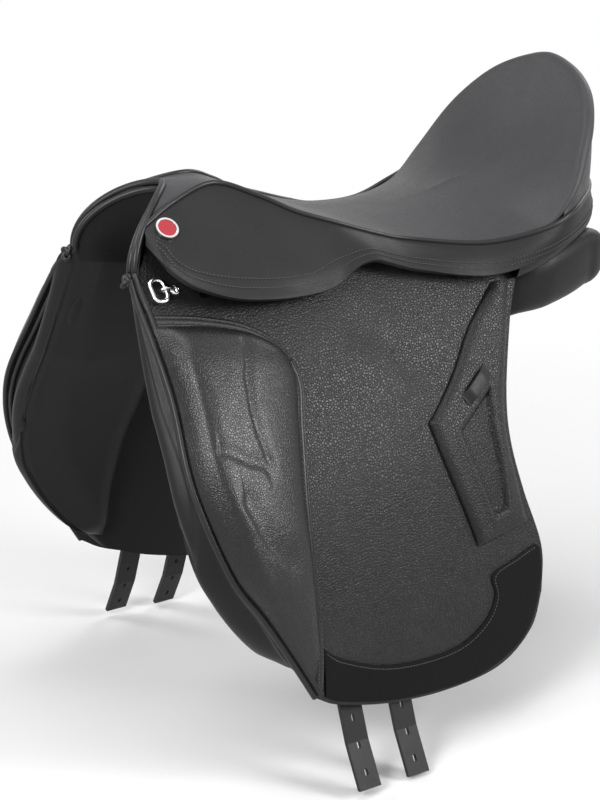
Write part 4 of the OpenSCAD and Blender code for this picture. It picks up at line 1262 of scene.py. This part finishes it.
        along = unit(on(min(t + 0.004, high)) - on(max(t - 0.004, low)))
        return on(clamp(t, low, high)), vec(-along[1], along[0])

    def binding_rise(self, d: float) -> float:
        """Returns the height of the binding at a drop, low at the top where it passes under the skirt."""
        return self.binding_h * mix(0.4, 1, ease((d - 22) / 25))

    def bind_block(self) -> None:
        """Makes the binding along the rear and top edge of the block cover, with its two seams."""
        spots = [self.edge_of_cover(t) for t in np.linspace(0, 1, 260)]
        ways = np.array([way for _, way in spots])
        ways = np.array([unit(ways[max(i - 8, 0) : i + 9].mean(0)) for i in range(len(ways))])
        line = np.array([p for p, _ in spots])

        def strip(u: float, v: float) -> Point:
            """Returns a point of the binding: a low round strip with a groove on each side of its middle."""
            p, way = on_line(line, v), on_line(ways, v)
            height = self.binding_t + self.binding_rise(p[1]) * dome(u / 0.3) * dome((1 - u) / 0.3)
            height -= 0.5 * (hump(u - 0.3, 0.07) + hump(u - 0.7, 0.07))
            return self.form.lay(*(p + way * self.binding * (u - 0.25)), self.gap + height)

        thick = (self.binding_t, 0.3)
        self.sewn(make_sheet("near_block_binding", (24, 320), strip, thick, LOOKS.piping))
        heights = np.array([1.0 + self.binding_rise(d) for _, d in line])
        for count, share in enumerate((0.05, 0.45), 1):
            self.row(f"block_{count}", line + ways * self.binding * share, heights, 3.4)

    def rear_pad(self) -> None:
        """Makes the padded patch at the back of the flap with its sunk kite."""
        shares = np.linspace(0, 1, 60)
        border = [self.pad.at(0, t) for t in shares] + [self.pad.at(t, 1) for t in shares]
        border = np.array(border + [self.pad.at(1, 1 - t) for t in shares])
        kite = np.array(self.kite, float)

        def place(u: float, v: float) -> Point:
            """Returns a point of the face, rounded off along its edges and sunk in the kite."""
            p = self.pad.at(u, v)
            sunk = depth_in(kite, p)
            height = mix(self.pad_edge, self.pad_h, dome(distance_to(border, p) / self.pad_round))
            height -= self.kite_depth * ease((sunk + 0.5) / 3) - 0.7 * hump(sunk + 4, 3.5)
            return self.form.lay(*p, self.gap + height)

        piece = make_sheet("near_rear_pad_leather", (80, 150), place, (1.2, 0.4), LOOKS.grain)
        self.sewn(piece, "rear_pad", fill=0.6)
        loop = np.vstack([kite, kite[:1]])
        line = [mix(loop[i], loop[i + 1], t) for i in range(len(kite)) for t in np.linspace(0, 1, 20)]
        around = np.array([p + unit(p - kite.mean(0)) * self.kite_seam for p in line])
        self.row("kite", around, self.pad_h + 0.5)

    def keeper(self) -> None:
        """Makes the keeper strap across the top of the rear pad."""
        along, across = vec(0.8, 0.6), vec(-0.6, 0.8)
        length, width = self.keeper_size

        def place(u: float, v: float) -> Point:
            """Returns a point of the face, its ends sewn down."""
            p = vec(*self.keeper_mid) + (u - 0.5) * length * along + (v - 0.5) * width * across
            arch = self.keeper_arch * ease(u / 0.3) * ease((1 - u) / 0.3)
            return self.form.lay(*p, self.pad_h + 0.6 + arch + 0.5 * (1 - (2 * v - 1) ** 2))

        piece = make_sheet("near_keeper_leather", (36, 12), place, (2.4, 0.7), LOOKS.strap)
        self.sewn(piece, "keeper")

    def piping(self) -> None:
        """Makes the two cords along the front edge of the flap."""
        for count, (inset, n) in enumerate(self.cord_at, 1):
            path = []
            for t in np.linspace(0, 1, 120):
                x, d = self.outline.at(1, t) - vec(0, 4 * (1 - ease(t * 12)))
                back = unit(self.outline.at(1, min(t + 0.01, 1)) - self.outline.at(1, max(t - 0.01, 0)))
                path.append(self.form.lay(x - inset * back[1], d + inset * back[0], n))
            piece = make_cord(f"near_flap_piping_{count}", path, self.cord, LOOKS.piping)
            self.pair(piece, "grain_leather", self.joined)


@dataclass
class Panels(Maker):
    """Stuffed panels, the pads on the sweat flaps and the sweat flaps.

    A panel runs between the two places of run, with round caps beyond them, and narrows to the
    share thin where it lies under the pad. turn and shoulder are the shares of the pad's grid
    at which it turns round the front and at which it leaves the arch lining.
    """

    flap: FlapForm = FlapForm()
    run: Couple = (-242, 186)
    cap: float = 0.09
    cap_long: float = 31
    thin: float = 0.62
    sweat_n: float = -19.3
    sweat_t: float = 3.5
    sweat_front_n: float = -6.6
    roll_n: float = -23.15
    roll_t: float = 26
    sweat: Patch = Patch(
        ((-84, 36), (50, 36), (224, 20)),
        ((-104, 258), (-92, 298), (-54, 327), (-7, 337), (40, 334), (88, 326), (118, 316), (142, 302)),
        ((-84, 36), (-78, 80), (-80, 128), (-89, 180), (-101, 227), (-104, 258)),
        ((224, 20), (225, 60), (231, 128), (214, 195), (188, 238), (167, 275), (142, 302)),
    )
    cord: float = 2.4
    turn: float = 0.66
    shoulder: float = 0.3
    front_bulge: float = 8
    front_share: float = 0.55
    front_n: float = -10.6
    pad_edge: float = 3
    pad_long: float = 230
    rear_round: float = 30
    front_round: float = 48
    foot_round: float = 34
    seam_at: float = 3
    seam_deep: float = 2.4
    seam_wide: float = 2.2
    lining_x: Sequence[float] = (98, 138, 196, 221)
    lining_y: Sequence[float] = (33.9, 34, 37.5, 47)
    lining_z: Sequence[float] = (82, 87, 97, 104)
    collar_front: Pairs = ((221, 47.4, 105.5), (226, 53, 104), (229, 61, 97), (229.5, 68, 88), (228, 72, 80))
    roll: Patch = Patch(
        ((98, 66), (229, 66)),
        ((134, 296), (150, 291)),
        ((98, 66), (103, 100), (108, 136), (116, 170), (121, 204), (126, 240), (129, 272), (134, 296)),
        ((229, 66), (230, 98), (231, 140), (223, 190), (210, 220), (192, 250), (171, 276), (150, 291)),
    )

    def build(self) -> None:
        """Makes panels, pads and sweat flaps of both sides."""
        self.panel()
        self.pad()
        self.sweat_flap()

    def panel(self) -> None:
        """Makes the stuffed panel, a closed skin round its sections."""
        form = PanelForm(self.flap)

        def place(u: float, v: float) -> Point:
            """Returns a point of the skin: u round the section, v along the panel with both ends closed."""
            around = 2 * math.pi * (u if u < 1 - TINY else 0.0)
            end = min(v / self.cap, (1 - v) / self.cap, 1.0) * math.pi / 2
            x = mix(*self.run, clamp((v - self.cap) / (1 - 2 * self.cap)))
            p = form.at(x, around, math.sin(end) * mix(1, self.thin, ease((x - 110) / 60)))
            p[0] += math.copysign(self.cap_long * math.cos(end), v - 0.5)
            return p

        piece = make_grid("near_panel_leather", 64, 120, place)
        weld(piece)
        smooth(piece, 70)
        paint(piece, LOOKS.panel)
        self.pair(piece, "panel_leather", nodes=["panel"], fill=0.8)

    def section(self, u: float, w: float) -> Point:
        """Returns a point of the pad below the panel.

        Args:
            u: Way round the pad, from its rear edge over the inner face and round the front.
            w: Way down the pad.

        Returns:
            The point.
        """
        t = min(u / self.turn, 1.0)
        x, d = self.roll.at(t, w)
        wide = float(np.linalg.norm(self.roll.at(1, w) - self.roll.at(0, w)))
        swell = dome(t * wide / self.rear_round) * dome((1 - w) * self.pad_long / self.foot_round)
        swell *= mix(self.front_share, 1, ease((1 - t) * wide / self.front_round))
        seam = self.seam_deep * hump((1 - t) * wide - self.seam_at, self.seam_wide) * ease((1 - w) / 0.12)
        deep = self.pad_edge + (self.roll_t - self.pad_edge) * swell - seam
        ridge = self.roll_n + self.flap.hang(d) - deep
        if u <= self.turn:
            return self.flap.lay(x, d, ridge)
        q = (u - self.turn) / (1 - self.turn)
        front = self.sweat_front(d) - 2
        bulge = self.front_bulge * math.sin(math.pi * min(q * 1.25, 1)) * (0.35 + 0.65 * ease((1 - w) / 0.4))
        return self.flap.lay(mix(x, front, ease(q)) + bulge, d, mix(ridge, self.front_n, q))

    @cached_property
    def sweat_line(self) -> np.ndarray:
        """Returns places along the sweat flap's front edge."""
        return np.array([self.sweat.at(1, t) for t in np.linspace(0, 1, 40)])

    def sweat_front(self, d: float) -> float:
        """Returns the x of the sweat flap's front edge at a drop."""
        return float(np.interp(d, self.sweat_line[:, 1], self.sweat_line[:, 0]))

    def collar(self, u: float) -> Point:
        """Returns the top line of the pad, along the arch lining and round the front of the panel."""
        if u <= self.turn:
            x = mix(self.lining_x[0], self.lining_x[-1], u / self.turn)
            y, z = (float(np.interp(x, self.lining_x, line)) for line in (self.lining_y, self.lining_z))
            return vec(x, y - 0.6, z + 1.5)
        q = (u - self.turn) / (1 - self.turn)
        return on_line(self.collar_front, q)

    def pad(self) -> None:
        """Makes the skin over the front of the panel and the pad that runs down the sweat flap."""

        def place(u: float, v: float) -> Point:
            """Returns a point: the upper part runs from the arch lining down to the pad."""
            if v >= self.shoulder:
                return self.section(u, (v - self.shoulder) / (1 - self.shoulder))
            t = v / self.shoulder
            top, foot = self.collar(u), self.section(u, 0)
            lead = foot + (foot - self.section(u, 0.04)) * 4
            return (1 - t) ** 2 * top + 2 * t * (1 - t) * mix(mix(top, foot, 0.6), lead, 0.5) + t * t * foot

        out = vec(0.3, -1, 0)
        piece = make_sheet("near_panel_pad_leather", (110, 110), place, (1.8, 0.5), LOOKS.panel, out)
        self.pair(piece, "panel_leather", nodes=["panel_roll"], fill=0.8)

    def sweat_flap(self) -> None:
        """Makes the sweat flap and the cord along its front edge."""

        def place(u: float, v: float) -> Point:
            """Returns a point of its outer face."""
            x, d = self.sweat.at(u, v)
            return self.flap.lay(x, d, self.sweat_depth(u, d))

        thick = (self.sweat_t, 1.0)
        piece = make_sheet("near_sweat_leather", (70, 70), place, thick, LOOKS.lining)
        self.pair(piece, "panel_leather", nodes=["sweat_flap"])
        path = []
        for t in np.linspace(0, 1, 120):
            x, d = self.sweat.at(1, t)
            path.append(self.flap.lay(x, d, self.sweat_depth(1, d) - 1.7))
        self.pair(make_cord("near_sweat_piping", path, self.cord, LOOKS.piping), "panel_leather")

    def sweat_depth(self, u: float, d: float) -> float:
        """Returns how far behind the flap the sweat flap lies: its front edge is drawn up against the flap."""
        return mix(self.sweat_n + self.flap.hang(d), self.sweat_front_n, ease((u - 0.89) / 0.09))


@dataclass
class Pommel(Maker):
    """Lining of the arch and the channel, piping round the arch and the facing beside it."""

    form: VaultForm = VaultForm()
    flap: FlapForm = FlapForm()
    lining_rows: Couple = (0.06, 6)
    lining_turn: float = 101
    cord: float = 3.1
    cord_gap: float = 5.9
    arch_mid: float = 92
    arch_foot: Triple = (227.5, 1, -2.0)
    lace: float = 1.9
    knot_at: Triple = (227, 51.5, 100)
    knot_size: float = 1.6
    facing_turn: Couple = (57, 90)
    facing_out: Pairs = ((208, 46, 134), (211.5, 50, 127), (214, 53, 120), (216.5, 55, 112), (220, 59, 103))

    def build(self) -> None:
        """Makes lining, piping, facings and lace knots."""
        down = vec(0, 0, -1)
        lining = make_sheet("arch_lining", (60, 90), self.lining, (1.6, 0), LOOKS.lining, down)
        self.settle(lining, "panel_leather", nodes=["gullet_lining"])
        for count, nodes in enumerate((["pommel_welt"], [])):
            path = self.arch(count * self.cord_gap)
            piece = make_cord(f"arch_piping_{count + 1}", path, self.cord, LOOKS.piping)
            self.settle(piece, "grain_leather", nodes=nodes)
        ahead = vec(1, 0, 0)
        facing = make_sheet("near_facing_leather", (24, 10), self.facing, (2, 0.4), LOOKS.grain, ahead)
        off = other_side(facing, "off_facing_leather")
        self.settle(facing, "grain_leather", nodes=["pommel_facing"])
        self.settle(off, "grain_leather")
        knot = make_cord("near_lace_knot", self.knot(), self.lace, LOOKS.piping, True)
        self.pair(knot, "panel_leather")

    def lining(self, u: float, v: float) -> Point:
        """Returns a point of the lining, with closer rows at the arch."""
        return self.form.at(mix(*self.lining_rows, v**1.6), self.lining_turn * (2 * u - 1))

    def knot(self) -> list[Point]:
        """Returns the line of the knotted lace that holds the panel to the point of the tree."""
        out, rise = unit(vec(0.75, -0.2, 0.35)), vec(0, 0.4, 1)
        up = unit(rise - out * float(rise @ out))
        side = np.cross(up, out)
        line = []
        for t in np.linspace(0, 2 * math.pi, 72, endpoint=False):
            a = math.sin(t) + 2 * math.sin(2 * t)
            b = math.cos(t) - 2 * math.cos(2 * t)
            loop = a * side + 1.25 * b * up - math.sin(3 * t) * out
            line.append(vec(*self.knot_at) + self.knot_size * loop)
        return line

    def arch(self, grow: float) -> list[Point]:
        """Returns the line of a cord round the arch to the fold of both flaps, moved outward by grow."""
        line = []
        for a in np.linspace(0, 90, 60):
            p = self.form.at(0, a)
            line.append(p + grow * unit(vec(0, p[1], p[2] - self.arch_mid)) - vec(grow * 0.25, 0, 0))
        x, d, n = self.arch_foot
        corner = self.flap.lay(x - grow * 0.9, d, n + 0.55 * grow)
        last, bow = line[-1], vec(1.5, 0, 1.5)
        line += [mix(last, corner, t) + bow * 4 * t * (1 - t) for t in np.linspace(0.1, 1, 14)]
        return [Side.OFF.of(p) for p in line[:0:-1]] + line

    def facing(self, u: float, v: float) -> Point:
        """Returns a point of the leather between the arch and the skirt's front edge."""
        o = on_line(self.facing_out, u)
        i = self.form.at(0, mix(*self.facing_turn, u))
        return mix(i + 2 * unit(o - i), o, v) + vec(0.8, 0, 0)


@dataclass
class Dees(Maker):
    """Oblong rings on the front corners of the flaps, each in an eye held by a screw.

    Places are counted from the spot on the flap; bar is where the ring hangs in the eye, forward
    and outward. head is the radius and the height of the screw's head.
    """

    flap: FlapForm = FlapForm()
    spot: Couple = (194, -12)
    bar: Couple = (8, 4.6)
    size: Couple = (12.5, 20)
    corner: float = 5.6
    wire: float = 1.9
    eye: float = 3.9
    eye_wire: float = 1.3
    head: Couple = (4.8, 2.8)
    head_x: float = -2.5

    def at(self, x: float, y: float, z: float) -> Point:
        """Returns a point given forward, across and outward of the spot."""
        ahead = vec(1, 0, 0)
        across = unit(np.cross(self.flap.out(*self.spot), ahead))
        return self.flap.lay(*self.spot, 0.2) + x * ahead + y * across + z * np.cross(ahead, across)

    def build(self) -> None:
        """Makes ring, eye and screw."""
        ring = make_cord("near_dee", self.ring(), self.wire, LOOKS.chrome, True)
        self.pair(ring, "chrome", Joined("dee_ring"), ["dee_ring"])
        x, z = self.bar
        shank = [self.at(self.head_x, 0, 1.2), self.at(x - self.eye - 1, 0, 2.2)]
        turns = np.radians(np.linspace(-160, 200, 40))
        loop = [self.at(x + self.eye * math.cos(a), 0, z + self.eye * math.sin(a)) for a in turns]
        eye = make_cord("near_dee_eye", shank + loop, self.eye_wire, LOOKS.chrome)
        self.pair(eye, "chrome", nodes=["dee_staple"])
        screw = make_grid("near_dee_screw", 48, 14, self.screw)
        weld(screw)
        face_out(screw, OUTWARD)
        smooth(screw, 40)
        self.pair(paint(screw, LOOKS.chrome), "chrome")

    def ring(self) -> list[Point]:
        """Returns the line of the ring, an oblong with round corners."""
        x, z = self.bar
        r = self.corner
        far, half = self.size[0] - r, self.size[1] / 2 - r
        line = []
        for k, (cx, cy) in enumerate(((far, half), (r, half), (r, -half), (far, -half))):
            for a in np.radians(90 * k + np.linspace(0, 90, 12)):
                line.append(self.at(x + cx + r * math.cos(a), cy + r * math.sin(a), z))
        return line

    def screw(self, u: float, v: float) -> Point:
        """Returns a point of the screw's domed head with its crossed slots."""
        radius, height = self.head
        a = 2 * math.pi * u
        x, y = radius * v * math.cos(a), radius * v * math.sin(a)
        slot = 0.8 * max(hump(x, 0.7), hump(y, 0.7)) * ease((0.75 - v) / 0.1)
        return self.at(self.head_x + x, y, height * math.sqrt(max(1 - v * v, 0)) + 0.1 - slot)


@dataclass
class Hardware(Maker):
    """Solids that show as they are: names of those with a near and an off one, and of the others."""

    paired: Sequence[tuple[str, str]] = (
        ("chrome", "button_rim"), ("enamel", "button_enamel"), ("steel", "stirrup_bar bar_catch"),
        ("strap", "front_strap rear_strap"), ("webbing", "girth_web"),
    )
    single: Sequence[tuple[str, str]] = (
        ("wood", "tree"), ("steel", "gullet_plate plate_rivets bar_rivets strap_rivets"),
        ("webbing", "seat_web"), ("foam", "seat_foam"), ("blued", "flap_nails"),
    )

    def build(self) -> None:
        """Gives each solid that shows its material."""
        sides = [f"{side.word}_" for side in Side]
        for heads, rows in ((sides, self.paired), ([""], self.single)):
            for look, row in rows:
                for node in (head + name for name in row.split() for head in heads):
                    paint(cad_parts[node], getattr(LOOKS, look))
                    log.info("%s: solid in %s", node, look)


@dataclass(frozen=True)
class Lamp:
    """A soft rectangular lamp, in metres and watts."""

    name: str
    spot: Triple
    aim: Triple
    size: Couple
    power: float

    def build(self) -> None:
        """Makes the lamp and points it."""
        lamp = bpy.data.lights.new(self.name, "AREA")
        lamp.shape, lamp.energy = "RECTANGLE", self.power
        lamp.size, lamp.size_y = self.size
        body = add_object(self.name, lamp)
        body.location = self.spot
        body.rotation_euler = (Vector(self.aim) - Vector(self.spot)).to_track_quat("-Z", "Y").to_euler()


@dataclass
class Studio:
    """Floor, light and camera, in metres and degrees."""

    turn: float = 34
    height: float = 19.5
    distance: float = 2.0
    aim: Couple = (-0.0168, -0.060)
    lens: float = 99
    floor_size: float = 14
    floor_gap: float = 0.004
    fade: Couple = (0.25, 1.1)
    sky: float = 0.12
    lamps: Sequence[Lamp] = (
        Lamp("top", (0.5, 0.1, 2.0), (0, 0, 0.05), (1.4, 1.4), 27),
        Lamp("front", (1.45, 0.85, 0.85), (0.15, 0.1, 0), (0.6, 0.6), 26),
        Lamp("side", (-1.4, 2.0, 1.1), (-0.05, 0.1, 0), (0.9, 1.1), 62),
        Lamp("off", (1.3, -1.5, 1.1), (-0.15, 0, 0.1), (0.8, 0.8), 14),
        Lamp("back", (-1.8, -0.6, 1.2), (-0.15, 0, 0.1), (0.9, 0.9), 12),
    )

    def build(self) -> None:
        """Makes the stage."""
        self.floor()
        self.camera()
        for lamp in self.lamps:
            lamp.build()
        self.world()

    def floor(self) -> None:
        """Makes the pale floor just under the saddle, which fades to plain white."""
        pick()
        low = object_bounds()[0][2] - self.floor_gap
        bpy.ops.mesh.primitive_plane_add(size=self.floor_size, location=(0, 0, low))
        floor = bpy.context.object
        floor.name = "floor"
        dye = Dye("floor")
        dye.set(Base_Color=dye.blend(dye.noise(3, 2.0), (0.74,) * 3, (0.77,) * 3), Roughness=0.9)
        glow = dye.node("ShaderNodeEmission", Color=(1, 1, 1, 1), Strength=1.0)
        far = dye.node("ShaderNodeVectorMath", {"operation": "LENGTH"}, Vector=dye.place)
        share = dye.wire(far, "Value").step(*self.fade) * self.seen(dye.tree)
        self.split(share, dye.shader, glow, "Material Output")
        floor.data.materials.append(dye.material)
        floor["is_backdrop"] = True

    def camera(self) -> None:
        """Places the camera where the photograph was taken from."""
        a, e = math.radians(self.turn), math.radians(self.height)
        back = vec(math.sin(a) * math.cos(e), math.cos(a) * math.cos(e), math.sin(e))
        right = vec(-math.cos(a), math.sin(a), 0)
        up = np.cross(back, right)
        spot = self.aim[0] * right + self.aim[1] * up + self.distance * back
        lens = bpy.data.cameras.new("camera")
        lens.lens, lens.sensor_width, lens.sensor_fit = self.lens, 36, "AUTO"
        camera = add_object("camera", lens)
        camera.matrix_world = Matrix([*np.column_stack((right, up, back, spot)).tolist(), [0, 0, 0, 1]])
        bpy.context.scene.camera = camera

    @staticmethod
    def seen(tree: bpy.types.NodeTree) -> Wire:
        """Returns 1 for what the camera sees, straight or in a reflection or through glass."""
        path = tree.nodes.new("ShaderNodeLightPath")
        kinds = [Wire(tree, path.outputs[f"Is {kind} Ray"]) for kind in ("Camera", "Glossy", "Transmission")]
        return maths(tree, "MAXIMUM", maths(tree, "MAXIMUM", *kinds[:2]), kinds[2])

    @staticmethod
    def split(share: Wire, lit: bpy.types.Node, shown: bpy.types.Node, end: str) -> None:
        """Mixes two shaders into an output.

        Args:
            share: Share of the second shader.
            lit: First shader.
            shown: Second shader.
            end: Name of the output node.
        """
        tree = share.tree
        both = tree.nodes.new("ShaderNodeMixShader")
        shaders = [Wire(tree, node.outputs[0]) for node in (lit, shown, both)]
        for slot, value in zip(both.inputs, (share, *shaders)):
            feed(slot, value)
        feed(tree.nodes[end].inputs["Surface"], shaders[2])

    def world(self) -> None:
        """Makes the white surroundings, plain white to the camera and softer as light."""
        world = bpy.data.worlds.new("studio")
        world.use_nodes = True
        bpy.context.scene.world = world
        tree = world.node_tree
        lit, shown = tree.nodes["Background"], tree.nodes.new("ShaderNodeBackground")
        lit.inputs["Strength"].default_value = self.sky
        for node in (lit, shown):
            node.inputs["Color"].default_value = (1, 1, 1, 1)
        self.split(self.seen(tree), lit, shown, "World Output")
        bpy.context.scene.view_settings.view_transform = "Standard"


def main() -> None:
    """Builds every sub-assembly in order, then the stage."""
    logging.basicConfig(level=logging.INFO, format="%(message)s")
    for kind in (Seat, Skirts, Flaps, Panels, Pommel, Dees, Hardware):
        kind().build()
    Studio().build()


if __name__ == "__main__":
    main()
